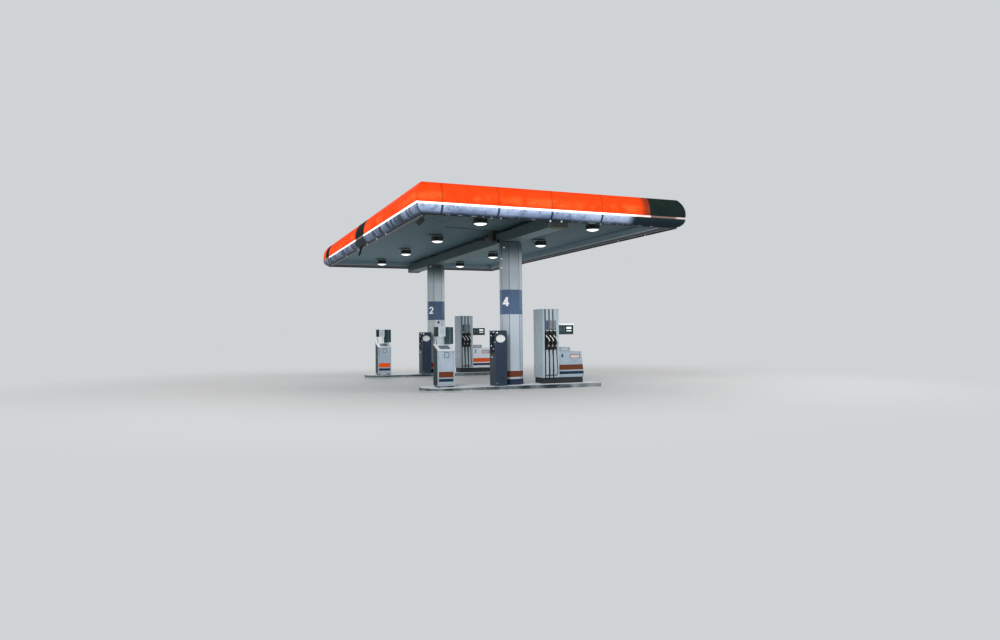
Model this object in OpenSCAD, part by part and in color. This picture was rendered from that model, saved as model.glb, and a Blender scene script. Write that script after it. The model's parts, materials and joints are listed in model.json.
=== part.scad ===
// Filling station canopy: two columns on pump islands carry one flat roof with a lit, rounded fascia.
// Millimetres, +Z up. The islands run along X and the columns stand in a row along Y.
// The origin is on the ground under the middle of the roof.

/* [Roof] */
// Width of the roof over the fascia, along X
roof_w = 7700; // [7000:50:9000]
// Length of the roof over the fascia, along Y
roof_l = 14200; // [13000:50:17000]
// Height of the light strip's middle above the ground
strip_z = 4760; // [4400:10:5400]
// Height of the light strip itself
strip_h = 48; // [30:2:70]
// Depth of the light strip, front to back
strip_d = 28; // [20:1:40]
// Height of the roof frame's underside above the light strip's middle
frame_rise = 40; // [30:5:80]
// Height of the fascia above the light strip's middle
fascia_rise = 530; // [440:10:600]
// Radius of the bulging upper fascia
bulge_r = 580; // [540:10:700]
// Height of the fascia's widest line above the light strip's middle
bulge_z = 120; // [60:5:160]
// Thickness of the upper fascia's panels
panel_t = 8; // [5:1:12]
// Radius of the rounded lower band
band_r = 209; // [190:1:230]
// Depth that the lower band stands back from the face at its top
band_inset = 8; // [0:1:20]
// Drop of the lower band below the light strip
band_drop = 205; // [170:5:205]
// Thickness of the lower band's sheets
band_t = 6; // [4:1:10]
// Distance from the fascia's face to the back wall behind it
tray_back = 300; // [270:5:340]
// Thickness of the sheet in the fascia's back wall and shelf
tray_t = 6; // [4:1:10]
// Height of the lip rail under the lower band
rail_h = 36; // [24:2:50]
// Thickness of the lip rail, front to back
rail_t = 18; // [10:1:26]

/* [Fascia joints] */
// Length of each mitred corner piece
corner_len = 650; // [500:10:800]
// Number of full panels along the front and the rear
front_panels = 4; // [3:1:5]
// Length of a full panel along the front and the rear
front_pitch = 1470; // [1200:5:1490]
// Number of full panels along each side
side_panels = 9; // [7:1:9]
// Length of a full panel along each side
side_pitch = 1345; // [1200:5:1350]
// Open joint between two panels
joint_gap = 6; // [3:1:12]
// Open seam at the mitred corners of the runs behind the panels
mitre_seam = 2; // [1:0.5:4]
// Shortest filler between the last full panel and the corner piece
filler_min = 100; // [60:10:200]

/* [Roof frame] */
// Width of the main beam's flanges
beam_b = 300; // [240:10:340]
// Depth of the main beam
beam_h = 500; // [450:10:560]
// Thickness of the main beam's flanges
beam_tf = 28; // [18:1:36]
// Thickness of the main beam's web
beam_tw = 14; // [10:1:20]
// Depth of the roof arms and of the edge channel
arm_h = 200; // [160:10:240]
// Width of the roof arms
arm_b = 100; // [80:5:140]
// Thickness of the arms' flanges
arm_tf = 10; // [8:1:14]
// Thickness of the arms' webs
arm_tw = 7; // [5:1:10]
// Thickness of the stiffeners in the main beam
stiff_t = 12; // [8:1:20]
// Clearance between the stiffeners and the arms over them
stiff_gap = 30; // [10:5:60]
// Number of arms on each side of the main beam
arms = 6; // [5:1:7]
// Distance between arms
arm_pitch = 2500; // [2000:50:2550]
// Width of the edge channel's flanges
edge_b = 90; // [60:5:120]
// Thickness of the edge channel
edge_t = 8; // [6:1:12]
// Width of the sheet casing round the main beam's lower part
case_b = 500; // [460:10:540]
// Thickness of the casing
case_t = 5; // [4:1:8]
// Rise of the casing's top over the beam's underside
case_rise = 150; // [100:5:200]
// Gap between the column cladding and the casing over it
case_gap = 20; // [10:5:40]
// Distance from the roof's faces back to the casing's ends
case_in = 130; // [100:5:170]
// Clearance of the casing from the trim, the rail and the columns
case_clear = 5; // [3:1:10]

/* [Ceiling and deck] */
// Distance between the ribs of the ceiling sheet
rib_pitch = 200; // [150:10:300]
// Depth of the ribs of the ceiling sheet
rib_h = 30; // [20:1:45]
// Thickness of the ceiling sheet
sheet_t = 4; // [3:1:6]
// Clearance between the ceiling sheets and the main beam's web
sheet_gap = 3; // [1:1:10]
// Distance between the ribs of the roof deck
deck_pitch = 250; // [200:10:350]
// Depth of the ribs of the roof deck
deck_h = 45; // [30:1:60]
// Height of the upright trim round the ceiling
trim_h = 200; // [150:5:200]
// Distance from the back wall to the trim
trim_gap = 44; // [30:1:60]

/* [Loose pieces] */
// Length of the board that hangs askew at the front left corner
board_l = 210; // [160:10:260]
// Width of that board
board_w = 130; // [100:5:160]
// Thickness of that board
board_t = 12; // [8:1:20]
// Turn of that board from level
board_turn = 45; // [0:5:60]
// Distance from the roof's corner to the board's strap
board_in = 230; // [215:5:300]
// Distance from the strap to the board's middle
board_side = 75; // [0:5:80]
// Distance from the lip down to the board's middle
board_drop = 195; // [180:5:210]
// Width of the board's strap
strap_b = 20; // [12:1:30]
// Length of the board's strap
strap_l = 150; // [130:5:160]
// Thickness of the strap and of the bent strip
loose_t = 3; // [2:1:5]
// Width of the bent strip on the left rail
loose_b = 45; // [30:5:60]
// Length of the bent strip's upright part
loose_l = 190; // [120:10:260]
// Drop of the bent strip's lower part
loose_drop = 90; // [60:5:120]
// Distance that the bent strip's lower end leans out
loose_out = 70; // [20:5:90]
// Place of the bent strip behind the roof's middle
loose_y = 290; // [100:10:500]

/* [Columns and islands] */
// Distance between the two columns
column_pitch = 7500; // [7000:50:8500]
// Width of the column cladding, along X
clad_w = 660; // [600:10:760]
// Depth of the column cladding, along Y
clad_d = 510; // [480:10:600]
// Width of each chamfer, measured along either side
clad_c = 170; // [140:5:180]
// Thickness of the cladding
clad_t = 12; // [8:1:16]
// Height of the cladding's top above the ground
clad_top = 4340; // [4200:10:4420]
// Height of the number band's lower edge above the ground
num_z0 = 2200; // [2000:10:2400]
// Height of the number band
num_h = 730; // [600:10:800]
// Height of the dark skirt round the column's foot
skirt_h = 170; // [120:5:220]
// Thickness of the skirt
skirt_t = 10; // [6:1:16]
// Width of the vertical joints at the cladding's corners
clad_groove = 6; // [3:1:9]
// Size of the square steel column inside
core_b = 220; // [200:10:260]
// Wall of the square steel column
core_t = 12; // [8:1:16]
// Size of the square base plate
base_b = 400; // [320:10:420]
// Size of the square cap plate under the beam
cap_b = 290; // [240:10:300]
// Thickness of the base and cap plates
plate_t = 22; // [16:1:30]
// Height of the islands
island_h = 120; // [80:5:160]
// Width of the islands
island_w = 1300; // [1200:10:1500]
// Distance from the column to an island's square end
island_right = 2700; // [2500:10:3000]
// Distance from the column to an island's round end
island_left = 2830; // [2700:10:3100]
// Radius of the eased corners at an island's square end
island_corner = 60; // [30:5:120]

/* [Lamps] */
// Distance of the lamps from the roof's middle line
lamp_x = 1700; // [1400:10:2200]
// Distance of the inner lamps from the roof's middle
lamp_y1 = 1900; // [1600:10:2200]
// Distance of the outer lamps from the roof's middle
lamp_y2 = 5600; // [5200:10:5900]
// Sideways shift of the one lamp that hangs out of line
lamp_shift = 190; // [0:10:250]
// Radius of the lens
lens_r = 200; // [160:5:230]
// Drop of the bowl of the lens
lens_h = 62; // [45:1:80]
// Height of the lamps' lowest point above the ground
lens_z = 4500; // [4400:5:4540]
// Size of the housing above the lens
housing_b = 300; // [240:10:320]
// Depth of the housing, along Y
housing_d = 260; // [200:10:300]
// Height of the housing's box
housing_h = 95; // [70:5:110]
// Height of the lens's rim
rim_h = 16; // [10:1:24]
// Width of the lens's rim
rim_w = 12; // [6:1:20]
// Height of the neck between rim and housing
neck_h = 24; // [12:1:40]
// Distance that the neck draws in
neck_in = 30; // [10:1:50]
// Length of the mounting bar on the ceiling
bar_l = 420; // [360:10:520]
// Height of the mounting bar
bar_h = 30; // [20:1:40]
// Width of the mounting bar and its straps
strap_w = 50; // [30:1:58]
// Thickness of the straps
strap_t = 6; // [4:1:10]
// Overlap of the straps on the housing's sides
strap_lap = 60; // [30:5:80]
// Diameter of the bent pipe beside the lamp that hangs out of line
pipe_d = 28; // [20:1:40]
// Reach of the bent pipe beside the housing
pipe_reach = 130; // [90:5:180]
// Radius of the bent pipe's elbow
pipe_bend = 45; // [30:5:60]

/* [Cameras] */
// Distance from the near column to the junction box, along the beam
cam_y = 660; // [600:10:900]
// Distance from the near column to the small camera's lens, along the beam
cam2_y = 250; // [200:10:300]
// Diameter of the main camera's body
cam_d = 84; // [60:2:110]
// Length of the main camera's body
cam_l = 260; // [200:10:280]
// Size of the small camera as a share of the main one
small_cam = 0.7; // [0.6:0.05:0.9]
// Tilt of the main camera, lens down
cam_tilt = 8; // [0:1:15]
// Thickness of the camera's sun shield
shield_t = 5; // [3:1:8]
// Gap between the camera's body and its sun shield
shield_gap = 6; // [4:1:12]
// Reach of the main camera's arm from the junction box
cam_reach = 300; // [250:10:350]
// Reach of the small camera's arm from the beam's casing
cam2_reach = 80; // [75:5:120]
// Overlap of an arm on its camera's sun shield
cam_hold = 80; // [60:5:100]
// Distance from the ceiling down to the main camera's arm
cam_drop = 190; // [150:10:230]
// Distance from the ceiling down to the small camera's arm
cam2_drop = 330; // [325:5:340]
// Thickness of the brackets' plates
bracket_t = 8; // [5:1:12]
// Width of the brackets' plates
bracket_w = 60; // [40:5:90]
// Distance from the near column to the round box on the ceiling, along the beam
cond_off = 250; // [150:50:500]
// Width of the junction box, along the beam
jbox_w = 240; // [200:10:280]
// Depth of the junction box
jbox_d = 130; // [100:5:160]
// Height of the junction box
jbox_h = 310; // [280:10:340]
// Diameter of the conduit on the ceiling
conduit_d = 22; // [16:1:30]
// Diameter of the small dome cameras
dome_d = 120; // [90:5:150]

/* [Dispensers] */
// Width of the shallow joints between the dispenser's doors
seam_w = 4; // [3:1:8]
// Depth of the shallow joints between the dispenser's doors
seam_d = 3; // [2:1:6]
// Distance from the column to the dispenser's hose tower
pump_x = 880; // [800:10:950]
// Width of the hose tower, along X
tower_w = 550; // [500:10:600]
// Depth of the hose tower, along Y
tower_d = 720; // [640:10:800]
// Height of the hose tower's top above the ground
tower_top = 2360; // [2250:10:2450]
// Radius of the hose tower's upright corners
tower_r = 60; // [30:5:80]
// Height of the black plinth under the dispenser
plinth_h = 180; // [140:5:220]
// Distance that the plinth stands back from the tower
plinth_inset = 30; // [15:5:50]
// Number of hoses on each face
hoses = 3; // [2:1:3]
// Distance from the tower's left side to the first hose slot
slot_x0 = 48; // [30:2:70]
// Distance between two hose slots
slot_pitch = 130; // [115:1:140]
// Width of a hose slot
slot_w = 42; // [32:1:50]
// Depth of a hose slot
slot_d = 60; // [40:1:80]
// Height of the nozzle panel's lower edge above the ground
boot_z0 = 1130; // [1050:10:1200]
// Height of the nozzle panel
boot_h = 570; // [500:10:620]
// Depth of the recess for the nozzle panel
boot_d = 24; // [12:1:36]
// Width of the low cabinet beside the tower
cab_w = 840; // [760:10:900]
// Depth of the low cabinet, along Y
cab_d = 640; // [560:10:700]
// Height of the low cabinet's top above the ground
cab_top = 1070; // [980:10:1200]
// Lean of the cabinet's free end
cab_lean = 90; // [40:5:140]
// Width of the step on the cabinet
step_w = 370; // [300:10:440]
// Height of the step on the cabinet
step_h = 130; // [80:5:160]
// Width of the display head
head_w = 550; // [460:10:600]
// Depth of the display head
head_d = 400; // [320:10:460]
// Height of the display head's underside above the ground
head_z0 = 1590; // [1500:10:1700]
// Height of the display head
head_h = 330; // [280:10:380]
// Thickness of the display head's lid
lid_t = 44; // [25:1:60]
// Overhang of the display head's lid
lid_over = 12; // [5:1:25]
// Depth of the field in the display head's faces
field_d = 12; // [6:1:20]
// Rim round the field in the display head's faces
field_rim = 22; // [12:1:34]
// Width of the readout windows
win_w = 200; // [160:5:260]
// Height of the upper readout window
win_h = 78; // [60:1:90]
// Height of the lower readout window
win2_h = 46; // [30:1:60]
// Thickness of the readout windows
win_t = 6; // [4:1:8]
// Gap above, below and beside the readout windows
win_gap = 26; // [14:1:30]
// Outer diameter of a fuel hose
hose_d = 26; // [20:1:28]
// Depth of the pocket that a nozzle's spout rests in
pocket_d = 18; // [8:1:20]
// Width of a nozzle's body
nozzle_w = 34; // [26:1:40]
// Width of a nozzle's hand guard
guard_w = 22; // [14:1:28]

/* [Terminals and bins] */
// Distance from the column's middle to the terminal's free side
term_x0 = 720; // [700:5:800]
// Width of a payment terminal
term_w = 360; // [320:5:365]
// Depth of a payment terminal
term_d = 450; // [400:5:500]
// Distance from the island's middle to the terminal's front
term_y0 = 500; // [480:5:600]
// Height of a payment terminal's top above the ground
term_top = 1720; // [1600:10:1850]
// Width of the cheeks beside the terminal's recess
term_cheek = 40; // [25:1:60]
// Depth of the terminal's recess
niche_d = 90; // [60:5:120]
// Height of the recess's lower edge above the ground
niche_z0 = 980; // [940:10:1150]
// Height of the joint over the terminal's lower door
term_joint = 1130; // [1000:10:1300]
// Height of the terminal's front above its recess
term_brow = 70; // [50:5:100]
// Height of the key shelf at its back
shelf_h = 150; // [100:5:180]
// Thickness of the panels in the recess
plate_d = 14; // [10:1:20]
// Height of the terminal's screen with its frame
screen_h = 230; // [180:5:260]
// Height of the card reader and the receipt chute
reader_h = 90; // [60:5:110]
// Distance from the column's middle to the bin's free side
bin_x0 = 2390; // [2300:10:2450]
// Width of a bin
bin_w = 510; // [440:10:560]
// Depth of a bin
bin_d = 410; // [360:10:460]
// Distance from the island's middle to the bin's front
bin_y0 = 260; // [200:10:320]
// Height of the bin's front edge above the ground
bin_front = 1180; // [1100:10:1260]
// Rise of the bin's sloping top
bin_rise = 170; // [120:10:220]
// Wall of the bin
bin_t = 14; // [8:1:20]
// Width of the bin's mouth
mouth_w = 310; // [260:10:340]
// Length of the bin's mouth, up the slope
mouth_l = 130; // [100:5:160]
// Distance from the bin's front edge up the slope to its mouth
mouth_in = 60; // [40:5:90]
// Radius of the mouth's corners
mouth_r = 26; // [10:1:40]
// Distance from the bin's edges to the joint of its door
door_in = 34; // [20:1:50]
// Height of the feet under the bin
foot_h = 40; // [25:5:60]
// Width of the feet under the bin
foot_w = 60; // [40:5:80]
// Distance from the bin's sides to its feet
foot_in = 30; // [15:5:60]
// Height of the towel box's underside above the ground
box_z0 = 1565; // [1480:5:1650]
// Height of the towel box's top above the ground
box_z1 = 1840; // [1780:5:1900]
// Width of the towel box
box_w = 290; // [240:10:320]
// Depth of the towel box
box_d = 170; // [130:10:200]
// Distance from the bin's free side and back to the towel box
box_in = 20; // [10:5:40]
// Diameter of the rods under the towel box
rod_d = 16; // [10:1:24]
// Distance from the towel box's sides and back to its rods
rod_in = 40; // [30:5:70]
// Gap between the towel box and the panel beside it
wash_gap = 6; // [4:1:20]
// Width of the panel beside the towel box
wash_w = 180; // [140:5:190]
// Thickness of the panel beside the towel box
wash_t = 40; // [15:5:50]

/* [Hidden] */

$fn = 48;
// Distance by which a cutting body passes the face that it cuts
cut = 1;
// Spare length of a run at both ends, before its mitre is cut
spare = 50;
FRONT = 0;
RIGHT = 1;
REAR = 2;
LEFT = 3;
SIDES = [FRONT, RIGHT, REAR, LEFT];
rows = [-column_pitch / 2, column_pitch / 2];
diag = sqrt(2);

// Heights of the roof's layers
strip_z0 = strip_z - strip_h / 2;
strip_z1 = strip_z + strip_h / 2;
fascia_top = strip_z + fascia_rise;
bulge_cz = strip_z + bulge_z;
band_cz = strip_z0;
lip_z = strip_z0 - band_drop;
frame_z0 = strip_z + frame_rise;
frame_z1 = frame_z0 + arm_h;
beam_z0 = frame_z1 - beam_h;
ceiling_z0 = frame_z0 - rib_h;
case_z0 = clad_top + case_gap;
case_z1 = beam_z0 + case_rise;
case_end_z1 = lip_z - rail_h - case_clear;

// Distances from the fascia's face, positive outwards
wall_u = -tray_back;
bulge_top_u = -bulge_r + sqrt(pow(bulge_r, 2) - pow(fascia_rise - bulge_z, 2));
band_lip_u = -band_inset - band_r + sqrt(pow(band_r, 2) - pow(band_drop, 2));
frame_u = wall_u - tray_t;
trim_u = wall_u - tray_t - trim_gap;
ceiling_l = roof_l + 2 * (trim_u - tray_t);
rail_in_u = band_lip_u - rail_t;
case_l = ceiling_l - 2 * case_clear;
case_end_l = roof_l - 2 * case_in;

// Half length of a side's run and half distance between its two faces
function run_half(side) = side % 2 == 0 ? roof_w / 2 : roof_l / 2;
function face_half(side) = side % 2 == 0 ? roof_l / 2 : roof_w / 2;

// Turns what is drawn for the front, with its face on y = 0, to any side
module on_side(side) {
    rotate([0, 0, 90 * side])
        translate([0, -face_half(side), 0])
            children();
}

// A profile in (outward, up) drawn out along X from a to b
module run(a, b) {
    translate([a, 0, 0])
        mirror([0, 1, 0])
            rotate([90, 0, 90])
                linear_extrude(height = b - a)
                    children();
}

// Room between the two mitre planes of a run of half length half, inside the seam
module mitre_room(half, seam) {
    out = cut;
    deep = tray_back + tray_t + max(trim_gap, edge_b) + spare;
    s = half - seam / 2;
    z0 = min(lip_z - rail_h, frame_z0 - trim_h) - spare;
    translate([0, 0, z0])
        linear_extrude(height = fascia_top + spare - z0)
            polygon([[-s - out, -out], [s + out, -out], [s - deep, deep], [-s + deep, deep]]);
}

// A whole mitred run of a profile on one side
module mitred(side) {
    half = run_half(side);
    on_side(side)
        intersection() {
            run(-half - spare, half + spare) children();
            mitre_room(half, mitre_seam);
        }
}

// Panels with open joints: a corner piece, full panels, a filler and the other corner piece
module panelled(side) {
    half = run_half(side);
    n = side % 2 == 0 ? front_panels : side_panels;
    p = side % 2 == 0 ? front_pitch : side_pitch;
    // The short filler is at the right on the front and the rear, and far from the front on the sides
    x0 = -half + corner_len;
    x1 = half - corner_len;
    flip = side == LEFT || side == REAR ? -1 : 1;
    g = joint_gap / 2;
    stops = concat([x0], [for (i = [1:n]) x0 + i * p], x0 + n * p < x1 - filler_min ? [x1] : []);
    on_side(side)
        mirror([flip < 0 ? 1 : 0, 0, 0]) {
            for (i = [0:len(stops) - 2])
                run(stops[i] + g, stops[i + 1] - g) children();
            intersection() {
                union() {
                    run(-half - spare, x0 - g) children();
                    run(stops[len(stops) - 1] + g, half + spare) children();
                }
                mitre_room(half, joint_gap / diag);
            }
        }
}

arc_fn = 160;

// Ring between two circles, as a profile
module arc_band(r, t) {
    difference() {
        circle(r = r, $fn = arc_fn);
        circle(r = r - t, $fn = arc_fn);
    }
}

module bulge_profile() {
    intersection() {
        translate([-bulge_r, bulge_cz]) arc_band(bulge_r, panel_t);
        translate([bulge_top_u - panel_t, strip_z1])
            square([panel_t - bulge_top_u + cut, fascia_top - strip_z1]);
    }
    translate([wall_u, fascia_top - panel_t])
        square([bulge_top_u - wall_u, panel_t]);
}

module band_profile() {
    intersection() {
        translate([-band_inset - band_r, band_cz]) arc_band(band_r, band_t);
        translate([band_lip_u, lip_z])
            square([-band_lip_u, band_drop]);
    }
}

module tray_profile() {
    // Back wall
    translate([wall_u - tray_t, lip_z])
        square([tray_t, fascia_top - lip_z]);
    // Shelf, a channel that the light strip is fixed to
    translate([wall_u, strip_z1 - tray_t])
        square([tray_back - strip_d, tray_t]);
    translate([wall_u, strip_z0])
        square([tray_back - strip_d, tray_t]);
    translate([-strip_d - tray_t, strip_z0])
        square([tray_t, strip_h]);
    // Ledge that the lip rail hangs from
    translate([wall_u, lip_z])
        square([band_lip_u - wall_u, tray_t]);
}

module strip_profile() {
    translate([-strip_d, strip_z0])
        square([strip_d, strip_h]);
}

module rail_profile() {
    translate([band_lip_u - rail_t, lip_z - rail_h])
        square([rail_t, rail_h]);
}

module trim_profile() {
    translate([trim_u - tray_t, frame_z0 - trim_h])
        square([tray_t, trim_h]);
    translate([trim_u, frame_z0 - trim_h])
        square([trim_gap, tray_t]);
}

module edge_profile() {
    translate([frame_u - edge_t, frame_z0])
        square([edge_t, arm_h]);
    for (z = [frame_z0, frame_z1 - edge_t])
        translate([frame_u - edge_b, z])
            square([edge_b - edge_t, edge_t]);
}

module fascia(side) {
    color([0.95, 0.3, 0.06])
        panelled(side) bulge_profile();
}

module fascia_front() { fascia(FRONT); }
module fascia_rear() { fascia(REAR); }
module fascia_left() { fascia(LEFT); }
module fascia_right() { fascia(RIGHT); }

module lower_band(side) {
    color([0.55, 0.6, 0.66])
        panelled(side) band_profile();
}

module lower_band_front() { lower_band(FRONT); }
module lower_band_rear() { lower_band(REAR); }
module lower_band_left() { lower_band(LEFT); }
module lower_band_right() { lower_band(RIGHT); }

module light_strip() {
    color([0.97, 0.97, 0.95])
        for (s = SIDES)
            mitred(s) strip_profile();
}

module fascia_tray() {
    color([0.42, 0.44, 0.45])
        for (s = SIDES)
            mitred(s) tray_profile();
}

module lip_rail() {
    color([0.2, 0.22, 0.23])
        for (s = SIDES)
            mitred(s) rail_profile();
}

module ceiling_trim() {
    color([0.75, 0.77, 0.77])
        for (s = SIDES)
            mitred(s) trim_profile();
}

module edge_frame() {
    color([0.5, 0.52, 0.52])
        for (s = SIDES)
            mitred(s) edge_profile();
}

// I-section of depth h along Y, standing on z = 0
module i_section(b, h, tf, tw, l) {
    translate([-b / 2, -l / 2, 0])
        cube([b, l, tf]);
    translate([-b / 2, -l / 2, h - tf])
        cube([b, l, tf]);
    translate([-tw / 2, -l / 2, tf])
        cube([tw, l, h - 2 * tf]);
}

module main_beam() {
    l = roof_l + 2 * (frame_u - edge_b);
    color([0.36, 0.39, 0.39])
        translate([0, 0, beam_z0]) {
            i_section(beam_b, beam_h, beam_tf, beam_tw, l);
            // Web stiffeners over the columns
            for (y = rows, sx = [-1, 1], dy = [-1, 1])
                translate([sx > 0 ? beam_tw / 2 : -beam_b / 2, y + dy * core_b / 2 - stiff_t / 2, beam_tf])
                    cube([(beam_b - beam_tw) / 2, stiff_t, beam_h - arm_h - beam_tf - stiff_gap]);
        }
    color([0.34, 0.38, 0.38])
        beam_casing();
}

// Closed sheet casing round the beam's lower part, on the web at its top, with holes for the columns
module beam_casing() {
    hole = core_b + 2 * case_clear;
    difference() {
        casing_form(0);
        casing_form(case_t);
        for (y = rows)
            translate([-hole / 2, y - hole / 2, case_z0 - cut])
                cube([hole, hole, case_t + 2 * cut]);
    }
}

// Form of the casing, less t on every face: tall between the trims, low on under the rails
module casing_form(t) {
    b = case_b - 2 * t;
    for (p = [[case_l, case_z1], [case_end_l, case_end_z1]])
        translate([-b / 2, t - p[0] / 2, case_z0 + t])
            cube([b, p[0] - 2 * t, p[1] - case_z0 - 2 * t]);
}

// One roof arm, coped to fit under the main beam's top flange
module roof_arm() {
    x1 = roof_w / 2 + frame_u - edge_b;
    xb = beam_b / 2;
    xw = beam_tw / 2;
    translate([xw, -arm_b / 2, frame_z0])
        cube([x1 - xw, arm_b, arm_tf]);
    translate([xw, -arm_tw / 2, frame_z0 + arm_tf])
        cube([x1 - xw, arm_tw, arm_h - beam_tf - arm_tf]);
    translate([xb, -arm_tw / 2, frame_z1 - beam_tf])
        cube([x1 - xb, arm_tw, beam_tf - arm_tf]);
    translate([xb, -arm_b / 2, frame_z1 - arm_tf])
        cube([x1 - xb, arm_b, arm_tf]);
}

module roof_arms() {
    color([0.5, 0.52, 0.52])
        for (i = [0:arms - 1], m = [0, 1])
            translate([0, (i - (arms - 1) / 2) * arm_pitch, 0])
                mirror([m, 0, 0])
                    roof_arm();
}

// Outline of a trapezoidal sheet along Y: n ribs of depth h, crests up, lowest face on 0
module ribbed_profile(l, pitch, h, t) {
    crest = pitch * 0.3;
    slope = pitch * 0.1;
    n = ribs(l, pitch);
    y0 = -n * pitch / 2 - crest / 2;
    top = [for (i = [0:n - 1], p = [[0, t], [crest, t], [crest + slope, h], [pitch - slope, h]])
        [y0 + i * pitch + p[0], p[1]]];
    low = [for (i = [n - 1:-1:0], p = [[pitch - slope, h - t], [crest + slope, h - t], [crest, 0], [0, 0]])
        [y0 + i * pitch + p[0], p[1]]];
    y1 = y0 + n * pitch;
    polygon(concat([[-l / 2, t]], top, [[y1, t], [l / 2, t], [l / 2, 0], [y1, 0]], low, [[-l / 2, 0]]));
}

// Number of whole ribs in a sheet of length l, and the low flat nearest to y
function ribs(l, pitch) = floor(l / pitch - 0.3);
function low_flat(y, l, pitch) =
    let (first = ribs(l, pitch) % 2 == 0 ? 0 : pitch / 2)
    sign(y) * (first + round((abs(y) - first) / pitch) * pitch);

module ribbed_sheet(x0, x1, l, pitch, h, t) {
    translate([x0, 0, 0])
        rotate([90, 0, 90])
            linear_extrude(height = x1 - x0)
                ribbed_profile(l, pitch, h, t);
}

module ceiling() {
    x0 = beam_tw / 2 + sheet_gap;
    x1 = roof_w / 2 + trim_u - tray_t;
    color([0.62, 0.66, 0.67])
        for (m = [0, 1])
            mirror([m, 0, 0])
                translate([0, 0, ceiling_z0])
                    ribbed_sheet(x0, x1, ceiling_l, rib_pitch, rib_h, sheet_t);
}

module roof_deck() {
    x1 = roof_w / 2 + frame_u;
    l = roof_l + 2 * frame_u;
    color([0.45, 0.47, 0.47])
        translate([0, 0, frame_z1])
            ribbed_sheet(-x1, x1, l, deck_pitch, deck_h, sheet_t);
}

module islands() {
    color([0.6, 0.6, 0.58])
        for (y = rows)
            translate([0, y, 0])
                island_solid();
}

// Kerb slab: round at one end, square with eased corners at the other
module island_solid() {
    r = island_w / 2;
    corner = island_corner;
    translate([-island_left + r, 0, 0])
        cylinder(r = r, h = island_h, $fn = 96);
    translate([-island_left + r, -r, 0])
        cube([island_left - r + island_right - corner, island_w, island_h]);
    translate([island_right - 2 * corner, -r + corner, 0])
        cube([2 * corner, island_w - 2 * corner, island_h]);
    for (s = [-1, 1])
        translate([island_right - corner, s * (r - corner), 0])
            cylinder(r = corner, h = island_h);
}

// Octagon with 45 degree chamfers, grown by g on every face
module octagon(g) {
    x = clad_w / 2 + g;
    y = clad_d / 2 + g;
    c = clad_c + g * (2 - diag);
    polygon([
        [x, y - c], [x - c, y], [c - x, y], [-x, y - c],
        [-x, c - y], [c - x, -y], [x - c, -y], [x, c - y]
    ]);
}

module clad_ring(outer, inner) {
    difference() {
        octagon(outer);
        octagon(inner);
    }
}

// Small square cuts along the cladding's eight corners, the joints between its sheets
module clad_joints() {
    x = clad_w / 2;
    y = clad_d / 2;
    for (sx = [-1, 1], sy = [-1, 1], p = [[x, y - clad_c], [x - clad_c, y]])
        translate([sx * p[0], sy * p[1]])
            rotate([0, 0, 45])
                square(clad_groove, center = true);
}

module column_cladding() {
    color([0.86, 0.87, 0.87])
        for (y = rows)
            translate([0, y, 0])
                for (z = [[island_h, num_z0], [num_z0 + num_h, clad_top]])
                    translate([0, 0, z[0]])
                        linear_extrude(height = z[1] - z[0])
                            difference() {
                                clad_ring(0, -clad_t);
                                clad_joints();
                            }
}

module column_bands() {
    color([0.27, 0.35, 0.47])
        for (y = rows)
            translate([0, y, num_z0])
                linear_extrude(height = num_h)
                    difference() {
                        clad_ring(0, -clad_t);
                        clad_joints();
                    }
}

module column_skirts() {
    color([0.09, 0.14, 0.22])
        for (y = rows)
            translate([0, y, island_h])
                linear_extrude(height = skirt_h)
                    clad_ring(skirt_t, 0);
}

module column_cores() {
    color([0.7, 0.72, 0.72])
        for (y = rows)
            translate([0, y, 0]) {
                translate([-base_b / 2, -base_b / 2, island_h])
                    cube([base_b, base_b, plate_t]);
                difference() {
                    translate([-core_b / 2, -core_b / 2, island_h + plate_t])
                        cube([core_b, core_b, beam_z0 - island_h - 2 * plate_t]);
                    translate([core_t - core_b / 2, core_t - core_b / 2, island_h + plate_t])
                        cube([core_b - 2 * core_t, core_b - 2 * core_t, beam_z0 - island_h - 2 * plate_t]);
                }
                translate([-cap_b / 2, -cap_b / 2, beam_z0 - plate_t])
                    cube([cap_b, cap_b, plate_t]);
            }
}

// Lamp places under the ceiling's low flats: two rows of four, one of them a little out of line
lamp_ys = [for (y = [-lamp_y2, -lamp_y1, lamp_y1, lamp_y2]) low_flat(y, ceiling_l, rib_pitch)];
lamps = concat(
    [for (y = lamp_ys) [-lamp_x, y]],
    [for (i = [0:3]) [lamp_x + (i == 1 ? lamp_shift : 0), lamp_ys[i]]]);
rim_z = lens_z + lens_h;
box_z = rim_z + rim_h + neck_h;
bar_z = ceiling_z0 - bar_h;

module lamp_lenses() {
    // The bowl is a cap of a sphere of this radius
    cap_r = (pow(lens_r, 2) + pow(lens_h, 2)) / (2 * lens_h);
    color([0.98, 0.98, 0.96])
        for (p = lamps)
            translate([p[0], p[1], 0])
                rotate_extrude($fn = 64)
                    intersection() {
                        translate([0, lens_z + cap_r]) circle(r = cap_r, $fn = 200);
                        translate([0, lens_z]) square([lens_r, lens_h]);
                    }
}

module lamp_housings() {
    fin = 10;
    top = rim_h + neck_h + housing_h;
    color([0.2, 0.22, 0.22])
        for (p = lamps)
            translate([p[0], p[1], rim_z]) {
                cylinder(r = lens_r + rim_w, h = rim_h, $fn = 64);
                translate([0, 0, rim_h])
                    cylinder(r1 = lens_r, r2 = lens_r - neck_in, h = neck_h, $fn = 64);
                difference() {
                    translate([-housing_b / 2, -housing_d / 2, rim_h + neck_h])
                        cube([housing_b, housing_d, housing_h]);
                    // Cooling slots across the housing's top
                    for (i = [-4:4])
                        translate([i * 2.6 * fin - fin / 2, -housing_d / 2 - cut, top - 2 * fin])
                            cube([fin, housing_d + 2 * cut, 2 * fin + cut]);
                }
            }
}

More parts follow.
